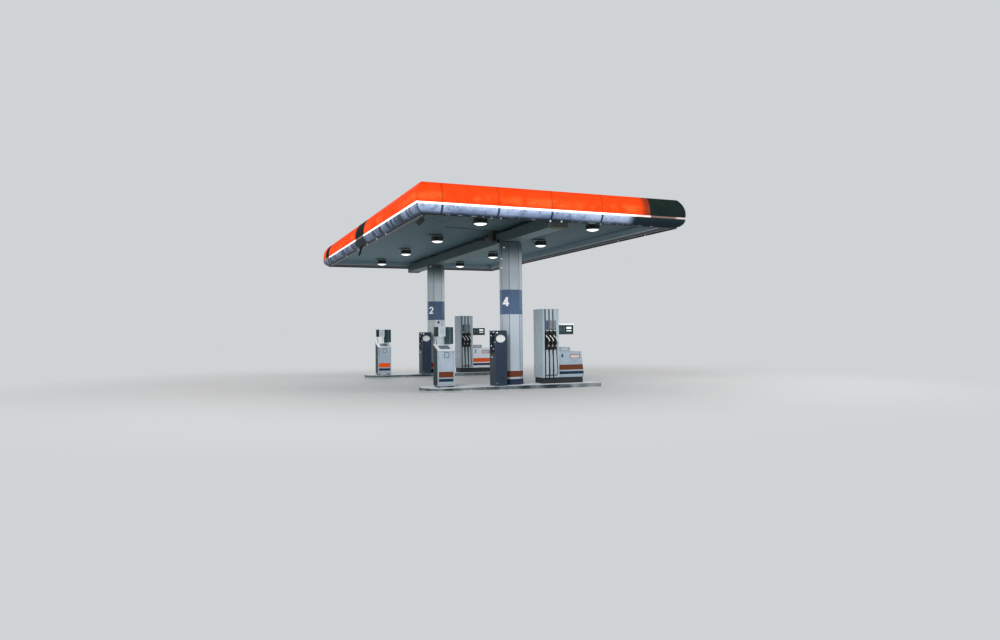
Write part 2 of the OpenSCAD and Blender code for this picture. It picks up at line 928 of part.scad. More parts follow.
// Bar on the ceiling with two straps down to the housing's sides
module lamp_bars() {
    strap_z = box_z + housing_h - strap_lap;
    color([0.3, 0.32, 0.32]) {
        for (p = lamps)
            translate([p[0], p[1], 0]) {
                translate([-bar_l + housing_b / 2 + strap_t, -strap_w / 2, bar_z])
                    cube([bar_l, strap_w, bar_h]);
                for (x = [-housing_b / 2 - strap_t, housing_b / 2])
                    translate([x, -strap_w / 2, strap_z])
                        cube([strap_t, strap_w, bar_z - strap_z]);
            }
        translate([lamps[5][0] - housing_b / 2 - strap_t, lamps[5][1], box_z + pipe_d])
            bent_pipe();
    }
}

// Pipe from the shifted lamp's side, out and up to the ceiling
module bent_pipe() {
    out = pipe_reach - pipe_bend;
    rotate([0, -90, 0])
        cylinder(d = pipe_d, h = out);
    translate([-out, 0, pipe_bend])
        rotate([-90, 90, 0])
            rotate_extrude(angle = 90)
                translate([pipe_bend, 0])
                    circle(d = pipe_d);
    translate([-pipe_reach, 0, pipe_bend])
        cylinder(d = pipe_d, h = ceiling_z0 - box_z - pipe_d - pipe_bend);
}

// Places of the junction box on the casing's side and of the round box on the ceiling
jbox_x = -case_b / 2 - jbox_d / 2;
jbox_y = rows[0] + cam_y;
cond_x = -lamp_x - bar_l / 2;
cond_y = low_flat(rows[0] + cond_off, ceiling_l, rib_pitch);

// Junction box on the beam's casing, conduit to it and an arm for each camera
module camera_mounts() {
    color([0.26, 0.29, 0.28]) {
        translate([jbox_x - jbox_d / 2, jbox_y - jbox_w / 2, ceiling_z0 - jbox_h])
            cube([jbox_d, jbox_w, jbox_h]);
        translate([cond_x, cond_y, ceiling_z0 - 3 * conduit_d])
            cylinder(d = 3 * conduit_d, h = 3 * conduit_d);
        conduit();
        on_main_arm() {
            foot_plate();
            rotate([0, -cam_tilt, 0])
                arm_plate(cam_reach);
        }
        on_small_arm() {
            foot_plate();
            arm_plate(cam2_reach);
        }
    }
}

// Places where the arms stand out, with the arm's underside on z = 0 and its foot on x = 0
module on_main_arm() {
    translate([jbox_x - jbox_d / 2, jbox_y, ceiling_z0 - cam_drop])
        children();
}

module on_small_arm() {
    translate([-case_b / 2, rows[0] + cam2_y + small_cam * cam_l - bracket_w / 2, ceiling_z0 - cam2_drop])
        children();
}

module foot_plate() {
    translate([-bracket_t, -bracket_w / 2, -bracket_w / 2])
        cube([bracket_t, bracket_w, bracket_w]);
}

module arm_plate(l) {
    translate([-l, -bracket_w / 2, 0])
        cube([l - bracket_t / 2, bracket_w, bracket_t]);
}

// Straight conduit just under the ceiling, from the round box to the junction box
module conduit() {
    dx = jbox_x - cond_x;
    dy = jbox_y - cond_y;
    translate([cond_x, cond_y, ceiling_z0 - conduit_d / 2])
        rotate([0, 90, atan2(dy, dx)])
            cylinder(d = conduit_d, h = norm([dx, dy]));
}

// Half width of the sun shield of a camera with a body of diameter d
function shield_half(d) = d / 2 + shield_gap + shield_t;

// Camera with a sun shield, drawn along X with its lens at -X and its shield's top on z = 0
module camera_body(d, l) {
    r = d / 2;
    room = r + shield_gap;
    wall = shield_half(d);
    translate([0, 0, -wall]) {
        rotate([0, 90, 0])
            difference() {
                cylinder(d = d, h = l);
                translate([0, 0, -cut])
                    cylinder(d = d - 4 * shield_t, h = 4 * shield_t + cut);
            }
        difference() {
            translate([-r / 2, -wall, -r / 2])
                cube([l + r / 2, 2 * wall, wall + r / 2]);
            translate([-r / 2 - cut, -room, -r / 2 - cut])
                cube([l + r / 2 + 2 * cut, 2 * room, room + r / 2 + cut]);
        }
        // Block that holds the body in its shield
        translate([l / 3, -r / 4, 0])
            cube([l / 3, r / 2, room + shield_t / 2]);
    }
}

// Two cameras under the arms and two small domes, on the ceiling and on the far column
module cameras() {
    ceiling_dome = [1300, low_flat(3100, ceiling_l, rib_pitch)];
    color([0.3, 0.33, 0.32]) {
        on_main_arm()
            rotate([0, -cam_tilt, 0])
                translate([cam_hold - cam_reach - cam_l, 0, 0])
                    camera_body(cam_d, cam_l);
        on_small_arm()
            translate([-2 * bracket_t - shield_half(small_cam * cam_d), bracket_w / 2 - small_cam * cam_l, 0])
                rotate([0, 0, 90])
                    camera_body(small_cam * cam_d, small_cam * cam_l);
        translate([ceiling_dome[0], ceiling_dome[1], ceiling_z0])
            dome(dome_d);
        translate([0, rows[1] - clad_d / 2, clad_top - dome_d / 2])
            rotate([-90, 0, 0])
                dome(dome_d * 0.7);
    }
}

// Round base with half a ball under it, hung from z = 0
module dome(d) {
    base = d / 4;
    translate([0, 0, -base])
        cylinder(d = d, h = base);
    translate([0, 0, -base])
        intersection() {
            sphere(d = d * 0.84);
            translate([-d, -d, -d])
                cube([2 * d, 2 * d, d]);
        }
}

// Loose pieces on the lip rail's inner face: a board at the corner and a bent strip on the left
module hanging_boards() {
    color([0.33, 0.27, 0.2]) {
        on_side(FRONT)
            translate([board_in - roof_w / 2, -rail_in_u, lip_z])
                askew_board();
        on_side(LEFT)
            translate([-loose_y, -rail_in_u, lip_z])
                bent_strip();
    }
}

// Board turned out of level, on the back of a strap that hangs from z = 0
module askew_board() {
    translate([-strap_b / 2, 0, -strap_l])
        cube([strap_b, loose_t, strap_l]);
    translate([-board_side, loose_t, -board_drop])
        rotate([0, -board_turn, 0])
            translate([-board_l / 2, 0, -board_w / 2])
                cube([board_l, board_t, board_w]);
}

// Strip that hangs from z = 0, with its lower end leaning out
module bent_strip() {
    low = -loose_l - loose_drop;
    translate([-loose_b / 2, 0, 0])
        rotate([90, 0, 90])
            linear_extrude(height = loose_b)
                polygon([
                    [0, 0], [0, -loose_l], [-loose_out, low],
                    [loose_t - loose_out, low], [loose_t, -loose_l], [loose_t, 0]
                ]);
}

// Stands pieces on both islands, with the column's middle as their own origin
module on_islands() {
    for (y = rows)
        translate([0, y, 0])
            children();
}

// Upright block with rounded vertical corners, centred on y = 0
module rounded_post(w, d, r, z0, z1) {
    translate([0, 0, z0])
        linear_extrude(height = z1 - z0)
            union() {
                translate([r, -d / 2]) square([w - 2 * r, d]);
                translate([0, -d / 2 + r]) square([w, d - 2 * r]);
                for (x = [r, w - r], y = [-d / 2 + r, d / 2 - r])
                    translate([x, y]) circle(r = r);
            }
}

tower_z0 = island_h + plinth_h;

module pump_plinths() {
    w = tower_w + cab_w - 2 * plinth_inset;
    d = cab_d - 2 * plinth_inset;
    color([0.05, 0.06, 0.07])
        on_islands()
            translate([pump_x + plinth_inset, -d / 2, island_h])
                cube([w, d, plinth_h]);
}

module hose_towers() {
    color([0.85, 0.87, 0.87])
        on_islands()
            translate([pump_x, 0, 0])
                difference() {
                    rounded_post(tower_w, tower_d, tower_r, tower_z0, tower_top);
                    for (m = [0, 1])
                        mirror([0, m, 0]) {
                            tower_cuts();
                            tower_seams();
                        }
                }
}

// Door joints: two upright ones on the tower's side and one on its face beside the slots
module tower_seams() {
    h = tower_top - tower_z0 + 2 * cut;
    for (y = [tower_d / 2 - 2 * tower_r, tower_d / 4 - tower_r / 2])
        translate([-cut, -y, tower_z0 - cut])
            cube([seam_d + cut, seam_w, h]);
    translate([tower_w - tower_r - seam_w, -tower_d / 2 - cut, tower_z0 - cut])
        cube([seam_w, seam_d + cut, h]);
}

// Hose slots and the shallow recess behind the nozzles, on the tower's front
module tower_cuts() {
    for (i = [0:hoses - 1])
        translate([slot_x0 + i * slot_pitch, -tower_d / 2 - cut, tower_z0 - cut])
            cube([slot_w, slot_d + cut, tower_top - tower_z0 + 2 * cut]);
    translate([slot_x0, -tower_d / 2 - cut, boot_z0])
        cube([hoses * slot_pitch, boot_d + cut, boot_h]);
}

// Middle of hose slot i and of the nozzle beside it, from the tower's left side
function slot_mid(i) = slot_x0 + i * slot_pitch + slot_w / 2;
function nozzle_mid(i) = slot_mid(i) + slot_pitch / 2;

// Draws a piece once for each hose lane, on both faces of both towers, from the face and the slot's middle
module on_lanes() {
    on_islands()
        lanes() children();
}

module lanes() {
    for (m = [0, 1])
        mirror([0, m, 0])
            for (i = [0:hoses - 1])
                translate([pump_x + slot_mid(i), -tower_d / 2, 0])
                    children();
}

// Nozzle panel pieces between the slots, each with a pocket for the spout
module nozzle_panels() {
    w = slot_pitch - slot_w;
    rim = 14;
    color([0.06, 0.07, 0.08])
        on_lanes()
            translate([slot_w / 2, 0, boot_z0])
                difference() {
                    cube([w, boot_d, boot_h]);
                    translate([rim, -cut, pocket_z0 - boot_z0])
                        cube([w - 2 * rim, pocket_d + cut, pocket_h]);
                }
}

pocket_z0 = boot_z0 + 250;
pocket_h = 270;
nozzle_z = boot_z0 + 130;
inlet_y = -84;
inlet_d = 36;
inlet_h = 44;

// One nozzle: spout resting in the pocket, body, hand guard and the inlet that the hose is fixed to
module nozzle() {
    side_view(nozzle_w)
        polygon([
            [pocket_d, 205], [pocket_d, 250], [-26, 262], [-60, 246], [-80, 196], [-92, 120], [-101, 20],
            [-96, 0], [-72, 0], [-66, 40], [-54, 110], [-40, 160], [-22, 190]]);
    side_view(guard_w)
        difference() {
            polygon([[-48, 150], [-12, 108], [-2, 62], [-2, 20], [-14, 4], [-30, 0], [-76, 0], [-68, 30]]);
            polygon([[-46, 122], [-22, 94], [-13, 58], [-13, 24], [-22, 14], [-34, 12], [-60, 12], [-56, 40]]);
        }
    // Lever inside the guard
    side_view(guard_w / 2)
        polygon([[-58, 66], [-40, 60], [-26, 24], [-30, 10], [-38, 10], [-42, 30], [-60, 48]]);
    translate([0, inlet_y, -inlet_h])
        cylinder(d = inlet_d, h = inlet_h + 12);
    translate([0, inlet_y, -inlet_h])
        cylinder(d = inlet_d + 6, h = inlet_h / 2);
}

// Extrudes an outline in (y, z) to both sides of x = 0
module side_view(w) {
    translate([-w / 2, 0, 0])
        rotate([90, 0, 90])
            linear_extrude(height = w)
                children();
}

module nozzles() {
    color([0.1, 0.11, 0.12])
        on_lanes()
            translate([slot_pitch / 2, 0, nozzle_z])
                nozzle();
}

// Outlet that each hose leaves, fixed to the back of its slot
module hose_outlets() {
    color([0.3, 0.31, 0.32])
        on_lanes() {
            translate([0, hose_y, hose_top])
                cylinder(d = outlet_d, h = outlet_h);
            translate([-outlet_d / 4, hose_y, hose_top + 8])
                cube([outlet_d / 2, slot_d - hose_y, outlet_h - 16]);
        }
}

outlet_d = 34;
outlet_h = 50;
hose_y = 26;
hose_top = 2300;

// Route of a hose from its slot's middle on the tower's face: along, inwards, above the ground.
// It hangs down its slot, turns up again near the plinth and ends in the nozzle's inlet.
hose_route = [
    [0, 26, 2300], [0, 26, 450], [10, -24, 360], [49, -126, 360], [65, -176, 450],
    [65, -84, 1140], [65, -84, 1216]];

// Tube with a ring of flat sides at each point, across the route's own direction
module tube(pts, d, sides = 8) {
    n = len(pts);
    function unit(v) = v / norm(v);
    function way(i) = i == n - 1 ? unit(pts[i] - pts[i - 1]) : unit(pts[i + 1] - pts[max(i - 1, 0)]);
    function ring(i) =
        let (t = way(i), a = unit(cross(t, [1, 0.2, 0])), b = cross(t, a))
        [for (k = [0:sides - 1]) pts[i] + d / 2 * (cos(360 * k / sides) * a + sin(360 * k / sides) * b)];
    verts = [for (i = [0:n - 1]) each ring(i)];
    walls = [for (i = [0:n - 2], k = [0:sides - 1])
        let (j = (k + 1) % sides)
        [i * sides + k, i * sides + j, (i + 1) * sides + j, (i + 1) * sides + k]];
    ends = [[for (k = [sides - 1:-1:0]) k], [for (k = [0:sides - 1]) (n - 1) * sides + k]];
    polyhedron(points = verts, faces = concat(walls, ends), convexity = 4);
}

module hoses_on(y) {
    color([0.04, 0.04, 0.05])
        translate([0, y, 0])
            lanes() tube(hose_route, hose_d);
}

module hoses_near() { hoses_on(rows[0]); }
module hoses_far() { hoses_on(rows[1]); }

module pump_cabinets() {
    x0 = pump_x + tower_w;
    color([0.88, 0.89, 0.89])
        on_islands()
            translate([x0, 0, tower_z0])
                difference() {
                    cabinet(0);
                    // Joint under the lid, all round
                    difference() {
                        translate([-cut, -cab_d, cab_top - tower_z0 - 2 * lid_t])
                            cube([cab_w + 2 * cut, 2 * cab_d, seam_w]);
                        cabinet(seam_d);
                    }
                }
}

// The low cabinet, with every upright face drawn in by g
module cabinet(g) {
    h = cab_top - tower_z0;
    translate([0, cab_d / 2 - g, 0])
        rotate([90, 0, 0])
            linear_extrude(height = cab_d - 2 * g)
                polygon([
                    [0, 0], [cab_w - g, 0], [cab_w - cab_lean - g, h],
                    [step_w, h], [step_w, h + step_h], [0, h + step_h]]);
}

// Display head with a shallow field in both faces
module display_heads() {
    h = head_h - lid_t;
    color([0.16, 0.24, 0.27])
        on_islands()
            translate([pump_x + tower_w, -head_d / 2, head_z0])
                difference() {
                    cube([head_w, head_d, h]);
                    for (y = [-cut, head_d - field_d])
                        translate([field_rim, y, field_rim])
                            cube([head_w - 2 * field_rim, field_d + cut, h - 2 * field_rim]);
                }
}

module display_lids() {
    color([0.88, 0.89, 0.89])
        on_islands()
            translate([pump_x + tower_w, -head_d / 2 - lid_over, head_z0 + head_h - lid_t])
                cube([head_w + lid_over, head_d + 2 * lid_over, lid_t]);
}

// Two readout windows in the field of each face
module display_windows() {
    x = head_w - field_rim - win_w - win_gap;
    z1 = head_h - lid_t - field_rim - win_gap;
    color([0.93, 0.95, 0.95])
        on_islands()
            for (m = [0, 1])
                mirror([0, m, 0])
                    translate([pump_x + tower_w + x, -head_d / 2 + field_d - win_t, head_z0]) {
                        translate([0, 0, z1 - win_h]) cube([win_w, win_t, win_h]);
                        translate([0, 0, z1 - win_h - win_gap - win2_h]) cube([win_w, win_t, win2_h]);
                    }
}

// Payment terminals: the user stands on the free side, where a recess holds the panels
module terminals() {
    h = term_top - island_h;
    color([0.2, 0.27, 0.37])
        on_islands()
            translate([-term_x0, -term_y0, island_h])
                difference() {
                    cube([term_w, term_d, h]);
                    translate([-cut, term_cheek, niche_z0 - island_h])
                        cube([niche_d + cut, term_d - 2 * term_cheek, term_top - term_brow - niche_z0]);
                    // Joint between head and lower door, round the front and the rear
                    for (y = [-cut, term_d - seam_d])
                        translate([-cut, y, term_joint - island_h])
                            cube([term_w + 2 * cut, seam_d + cut, seam_w]);
                }
}

// In each recess: a sloping key shelf, a card reader over it and a screen with its frame
module terminal_panels() {
    w = term_d - 2 * term_cheek;
    color([0.1, 0.12, 0.14])
        on_islands()
            translate([-term_x0, -term_y0 + term_cheek, niche_z0]) {
                // Key shelf
                rotate([90, 0, 0])
                    mirror([0, 0, 1])
                        linear_extrude(height = w)
                            polygon([[0, 0], [niche_d, 0], [niche_d, shelf_h], [0, shelf_h / 2]]);
                // Screen
                translate([niche_d - plate_d, w * 0.1, term_top - term_brow - niche_z0 - screen_h - seam_w])
                    difference() {
                        cube([plate_d, w * 0.8, screen_h]);
                        translate([-cut, field_rim, field_rim])
                            cube([plate_d / 2 + cut, w * 0.8 - 2 * field_rim, screen_h - 2 * field_rim]);
                    }
                // Card reader
                translate([niche_d - 2 * plate_d, w * 0.55, shelf_h + 2 * seam_w])
                    difference() {
                        cube([2 * plate_d, w * 0.3, reader_h]);
                        translate([-cut, w * 0.05, reader_h / 2])
                            cube([plate_d + cut, w * 0.2, seam_w]);
                    }
                // Receipt chute
                translate([niche_d - plate_d, w * 0.1, shelf_h + 2 * seam_w])
                    cube([plate_d, w * 0.3, reader_h]);
            }
}

bin_z0 = island_h + foot_h;

module bin_outline(t) {
    polygon([
        [t, t], [bin_d - t, t], [bin_d - t, bin_front + bin_rise - bin_z0 - t],
        [t, bin_front - bin_z0 - t]]);
}

module bins() {
    slope = atan(bin_rise / bin_d);
    color([0.8, 0.83, 0.83])
        on_islands()
            translate([-bin_x0, -bin_y0, bin_z0])
                difference() {
                    rotate([90, 0, 90])
                        linear_extrude(height = bin_w)
                            bin_outline(0);
                    translate([bin_t, 0, 0])
                        rotate([90, 0, 90])
                            linear_extrude(height = bin_w - 2 * bin_t)
                                bin_outline(bin_t);
                    translate([(bin_w - mouth_w) / 2, 0, bin_front - bin_z0])
                        rotate([slope, 0, 0])
                            translate([0, mouth_in, -3 * bin_t])
                                linear_extrude(height = 4 * bin_t)
                                    rounded_plate(mouth_w, mouth_l, mouth_r);
                    door_joint();
                }
}

// Rectangle with rounded corners, its lowest corner on the origin
module rounded_plate(w, l, r) {
    translate([r, 0]) square([w - 2 * r, l]);
    translate([0, r]) square([w, l - 2 * r]);
    for (x = [r, w - r], y = [r, l - r])
        translate([x, y]) circle(r = r);
}

// Shallow joint round the door in the bin's front
module door_joint() {
    h = bin_front - bin_z0;
    translate([0, -cut, 0])
        difference() {
            translate([door_in, 0, door_in])
                cube([bin_w - 2 * door_in, seam_d + cut, h - 2 * door_in]);
            translate([door_in + seam_w, -cut, door_in + seam_w])
                cube([bin_w - 2 * door_in - 2 * seam_w, seam_d + 3 * cut, h - 2 * door_in - 2 * seam_w]);
        }
}

module bin_feet() {
    color([0.07, 0.08, 0.09])
        on_islands()
            for (x = [foot_in, bin_w - foot_in - foot_w])
                translate([-bin_x0 + x, -bin_y0 + foot_in, island_h])
                    cube([foot_w, bin_d - 2 * foot_in, foot_h]);
}

// Paper towel boxes, each on two pairs of rods that lean together at the bin's top
module towel_boxes() {
    color([0.9, 0.91, 0.91])
        on_islands()
            translate([-bin_x0 + box_in, -bin_y0 + bin_d - box_d - box_in, 0]) {
                difference() {
                    translate([0, 0, box_z0])
                        cube([box_w, box_d, box_z1 - box_z0]);
                    // Slot that the towels come out of
                    translate([box_w / 5, box_d / 3, box_z0 - cut])
                        cube([box_w * 0.6, box_d / 3, 2 * seam_w + cut]);
                }
                difference() {
                    for (x = [rod_in, box_w - rod_in])
                        towel_rod(x, (x + box_w / 2) / 2);
                    translate([-cut, -bin_d + box_d + box_in, bin_front])
                        bin_wedge(box_w + 2 * cut);
                }
            }
}

// Leaning rod between the box's underside at x1 and the bin's top at x0
module towel_rod(x1, x0) {
    z0 = bin_front;
    lean = atan2(x1 - x0, box_z0 - z0);
    intersection() {
        translate([x0, box_d - rod_in, z0])
            rotate([0, lean, 0])
                translate([0, 0, -rod_d])
                    cylinder(d = rod_d, h = norm([x1 - x0, box_z0 - z0]) + 2 * rod_d);
        translate([0, 0, z0])
            cube([box_w, box_d, box_z0 - z0]);
    }
}

// What lies under the bin's sloping top, from the height of its front edge up
module bin_wedge(w) {
    rotate([90, 0, 90])
        linear_extrude(height = w)
            polygon([[-bin_d, -bin_rise], [2 * bin_d, -bin_rise], [2 * bin_d, 2 * bin_rise]]);
}

module wash_panels() {
    color([0.2, 0.28, 0.28])
        on_islands()
            translate([-bin_x0 + box_in + box_w + wash_gap, -bin_y0, bin_front])
                difference() {
                    translate([0, bin_d - box_in - wash_t, 0])
                        cube([wash_w, wash_t, box_z1 - bin_front]);
                    translate([-cut, 0, 0])
                        bin_wedge(wash_w + 2 * cut);
                }
}

islands();
column_cores();
column_cladding();
column_bands();
column_skirts();
main_beam();
roof_arms();
edge_frame();
roof_deck();
ceiling();
ceiling_trim();
fascia_tray();
fascia_front();
fascia_rear();
fascia_left();
fascia_right();
light_strip();
lower_band_front();
lower_band_rear();
lower_band_left();
lower_band_right();
lip_rail();
lamp_housings();
lamp_lenses();
lamp_bars();
camera_mounts();
cameras();
hanging_boards();
pump_plinths();
hose_towers();
nozzle_panels();
pump_cabinets();
display_heads();
display_lids();
display_windows();
nozzles();
hose_outlets();
hoses_near();
hoses_far();
terminals();
terminal_panels();
bins();
bin_feet();
towel_boxes();
wash_panels();
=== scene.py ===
import bpy
import bmesh
import json
import math
import random
from mathutils import Vector, Matrix

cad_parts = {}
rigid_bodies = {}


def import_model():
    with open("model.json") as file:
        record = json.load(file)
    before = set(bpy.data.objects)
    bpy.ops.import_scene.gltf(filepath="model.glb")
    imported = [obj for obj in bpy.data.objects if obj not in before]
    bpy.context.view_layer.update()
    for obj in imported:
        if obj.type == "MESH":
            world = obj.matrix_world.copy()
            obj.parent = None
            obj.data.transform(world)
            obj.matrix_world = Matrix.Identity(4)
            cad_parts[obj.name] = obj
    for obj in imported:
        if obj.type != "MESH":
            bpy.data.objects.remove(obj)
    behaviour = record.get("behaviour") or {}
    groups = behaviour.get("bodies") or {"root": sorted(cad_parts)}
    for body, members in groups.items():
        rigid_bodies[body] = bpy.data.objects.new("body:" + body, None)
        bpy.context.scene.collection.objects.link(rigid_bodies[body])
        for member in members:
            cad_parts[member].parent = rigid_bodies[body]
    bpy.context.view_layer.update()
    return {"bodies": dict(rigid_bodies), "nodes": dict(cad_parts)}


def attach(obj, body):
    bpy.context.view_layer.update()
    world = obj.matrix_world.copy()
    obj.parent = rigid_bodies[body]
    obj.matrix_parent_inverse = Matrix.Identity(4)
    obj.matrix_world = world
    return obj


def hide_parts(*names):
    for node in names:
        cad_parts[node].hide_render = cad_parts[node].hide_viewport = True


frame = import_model()
NODES = frame["nodes"]
scene = bpy.context.scene
scene.view_settings.view_transform = "Standard"
BODY = "root" if "root" in frame["bodies"] else list(frame["bodies"])[0]
rng = random.Random(11)

# Sizes repeated from part.scad, in metres
ROWS = (-3.75, 3.75)
HALF_W, HALF_L = 3.85, 7.1
SIDES = ("front", "rear", "left", "right")
FRONT_JOINTS = [-3.2, -1.73, -0.26, 1.21, 2.68, 3.2]
SIDE_JOINTS = [-6.45 + 1.345 * i for i in range(10)] + [6.45]
PUMP_X, TOWER_D = 0.88, 0.72
SLOT_X0, SLOT_P, SLOT_W = 0.048, 0.13, 0.042
HOSE_D = 0.026
CEILING_Z = 4.77
LAMPS = [(-1.7, -5.7), (-1.7, -1.9), (-1.7, 1.9), (-1.7, 5.7), (1.7, -5.7), (1.89, -1.9), (1.7, 1.9), (1.7, 5.7)]

UP = Vector((0, 0, 1))
SINK = 0.0003  # how deep a small piece is let into what carries it

# The photograph's camera: place, yaw, pitch and roll in degrees, focal length in widths of the picture
EYE, TURN, FOCAL, SENSOR = (-8.512, -23.523, 1.603), (22.40, 1.16, -0.56), 0.7209, 36


def make_camera():
    yaw, pitch, roll = (math.radians(a) for a in TURN)
    fwd = Vector((math.sin(yaw) * math.cos(pitch), math.cos(yaw) * math.cos(pitch), math.sin(pitch)))
    right = Vector((math.cos(yaw), -math.sin(yaw), 0))
    up = right.cross(fwd)
    cam = bpy.data.cameras.new("camera")
    cam.sensor_width = SENSOR
    cam.lens = SENSOR * FOCAL
    cam.clip_end = 400
    ob = bpy.data.objects.new("camera", cam)
    scene.collection.objects.link(ob)
    turned = (right * math.cos(roll) + up * math.sin(roll), up * math.cos(roll) - right * math.sin(roll), -fwd)
    ob.matrix_world = Matrix.Translation(EYE) @ Matrix(turned).transposed().to_4x4()
    scene.camera = ob


make_camera()


def srgb(colour, k=1.0):
    """An sRGB triple as the scene's linear colour, made k times as bright."""
    def lin(v):
        v /= 255
        return v / 12.92 if v <= 0.04045 else ((v + 0.055) / 1.055) ** 2.4
    return tuple(min(lin(v) * k, 1) for v in colour) + (1.0,)


class Value:
    """What a node gives, with arithmetic: | is the larger of two values and & the smaller."""

    def __init__(self, graph, socket):
        self.graph, self.socket = graph, socket

    def __rsub__(self, other):
        return self.graph.math("SUBTRACT", other, self)

    def __abs__(self):
        return self.graph.math("ABSOLUTE", self, 0.0)


for sign, name in (("add", "ADD"), ("sub", "SUBTRACT"), ("mul", "MULTIPLY"), ("or", "MAXIMUM"), ("and", "MINIMUM")):
    setattr(Value, "__%s__" % sign, lambda a, b, op=name: a.graph.math(op, a, b))


class Graph:
    """Makes and links the nodes of a material or world."""

    def __init__(self, owner):
        owner.use_nodes = True
        self.tree = owner.node_tree

    def node(self, kind, inputs, output=0, **settings):
        """One output of a new node, its inputs given by name or number."""
        n = self.tree.nodes.new("ShaderNode" + kind)
        for key, value in settings.items():
            setattr(n, key, value)
        for key, value in inputs.items():
            self.put(value, n.inputs[key])
        return Value(self, n.outputs[output])

    def put(self, value, socket):
        """Links a value, or sets a number or a colour. An sRGB colour is three whole numbers."""
        if isinstance(value, Value):
            self.tree.links.new(value.socket, socket)
        elif isinstance(value, tuple) and isinstance(value[0], int):
            socket.default_value = srgb(value)
        else:
            socket.default_value = value

    def math(self, op, a, b):
        return self.node("Math", {0: a, 1: b}, operation=op)

    def blend(self, first, second, fac=None):
        """Mixes two shaders: the second for rays from the camera, off gloss or through glass, there times fac."""
        seen, *rays = (self.node("LightPath", {}, "Is %s Ray" % k) for k in ("Camera", "Glossy", "Transmission"))
        for ray in rays:
            seen = seen | ray
        return self.node("MixShader", {0: fac * seen if fac else seen, 1: first, 2: second})


class Shader(Graph):
    """A Principled material whose colour, roughness and bump come from small chains of nodes."""

    def __init__(self, name):
        self.mat = bpy.data.materials.new(name)
        super().__init__(self.mat)
        self.bsdf = self.tree.nodes["Principled BSDF"]
        self.pos = self.node("TexCoord", {}, "Object")
        self.x, self.y, self.z = (self.node("SeparateXYZ", {0: self.pos}, k) for k in range(3))
        normal = self.node("NewGeometry", {}, "Normal")
        self.nx, self.ny, self.nz = (self.node("SeparateXYZ", {0: normal}, k) for k in range(3))

    def noise(self, scale, detail=3.0, rough=0.5, stretch=None):
        at = self.node("Mapping", {"Vector": self.pos, "Scale": stretch}) if stretch else self.pos
        return self.node("TexNoise", {"Scale": scale, "Detail": detail, "Roughness": rough, "Vector": at}, "Fac")

    def ramp(self, value, lo, hi, a=0.0, b=1.0):
        """From a to b, smoothly, while the value goes from lo to hi."""
        return self.node("MapRange", dict(enumerate((value, lo, hi, a, b))), interpolation_type="SMOOTHSTEP")

    def fade(self, value, lo, hi, a=1.0):
        return self.ramp(value, lo, hi, a, 0.0)

    def band(self, value, lo, hi, soft=0.002):
        """1 between lo and hi, 0 outside."""
        return self.ramp(value, lo - soft, lo + soft) * self.fade(value, hi - soft, hi + soft)

    def mix(self, fac, a, b):
        return self.node("Mix", {0: fac, 6: a, 7: b}, 2, data_type="RGBA")

    def to_joint(self, side):
        """Distance from the nearest joint between that side's panels."""
        along, joints = (self.x, FRONT_JOINTS) if side in ("front", "rear") else (self.y, SIDE_JOINTS)
        gaps = [abs(along - (-j if side == "rear" else j)) for j in joints]
        near = gaps[0]
        for gap in gaps[1:]:
            near = near & gap
        return near

    def finish(self, inputs, *bumps):
        """Sets the shader's sockets and keeps the material. Each bump is (height 0 to 1, distance in metres)."""
        for name, value in inputs.items():
            self.put(value, self.bsdf.inputs[name])
        last = {}
        for height, dist in bumps:
            last = {"Normal": self.node("Bump", {"Strength": 1.0, "Distance": dist, "Height": height, **last})}
        for value in last.values():
            self.put(value, self.bsdf.inputs["Normal"])
        MAT[self.mat.name] = self.mat


MAT = {}
DIRT, DUST, BACKDROP = (84, 78, 68), (150, 144, 132), (208, 211, 214)


def worn(s, colour, blot=0.10, streak=0.35, speck=0.3, dust=0.35, foot=None, dirt=DIRT):
    """The colour with blotches, rain streaks, specks, dust on upward faces and grime near the ground."""
    big, fine = s.noise(1.7, 5.0, 0.6), s.noise(46.0, 4.0, 0.6)
    runs = s.noise(1.0, 5.0, 0.55, (17.0, 17.0, 0.9))
    patches = s.ramp(big, 0.3, 0.7)
    if isinstance(colour, Value):
        c = s.mix(patches * blot, colour, dirt)
    else:
        c = s.mix(patches, srgb(colour, 1 - blot), srgb(colour, 1 + blot * 0.6))
    darkening = s.ramp(runs, 0.54, 0.78) * streak * s.fade(abs(s.nz), 0.3, 0.8) | s.ramp(fine, 0.62, 0.74) * speck
    if foot:
        darkening = darkening | s.fade(s.z + big * 0.35, foot[0] + 0.17, foot[1] + 0.17) * 0.16
    dusty = s.ramp(s.nz, 0.5, 0.95) * s.ramp(big, 0.25, 0.75, dust * 0.5, dust)
    return s.mix(dusty, s.mix(darkening, c, dirt), DUST), darkening | dusty, fine


def paint(name, colour, rough=0.38, metallic=0.0, spec=0.22, wave=0.0, coat=0.0, zones=(), **wear):
    """Painted metal; zones are pairs of a mask and the colour it brings in."""
    s = Shader(name)
    for mask, tone in zones:
        colour = s.mix(mask(s), colour, tone)
    c, dull, fine = worn(s, colour, **wear)
    bumps = [(s.noise(1.6, 2.0, 0.4), wave)] if wave else []
    s.finish({"Base Color": c, "Metallic": metallic, "Specular IOR Level": spec, "Coat Weight": coat,
              "Coat Roughness": 0.12, "Roughness": s.ramp(fine, 0.2, 0.8, rough - 0.05, rough + 0.07) + dull * 0.35},
             *bumps, (s.noise(420.0, 2.0), 0.00025))


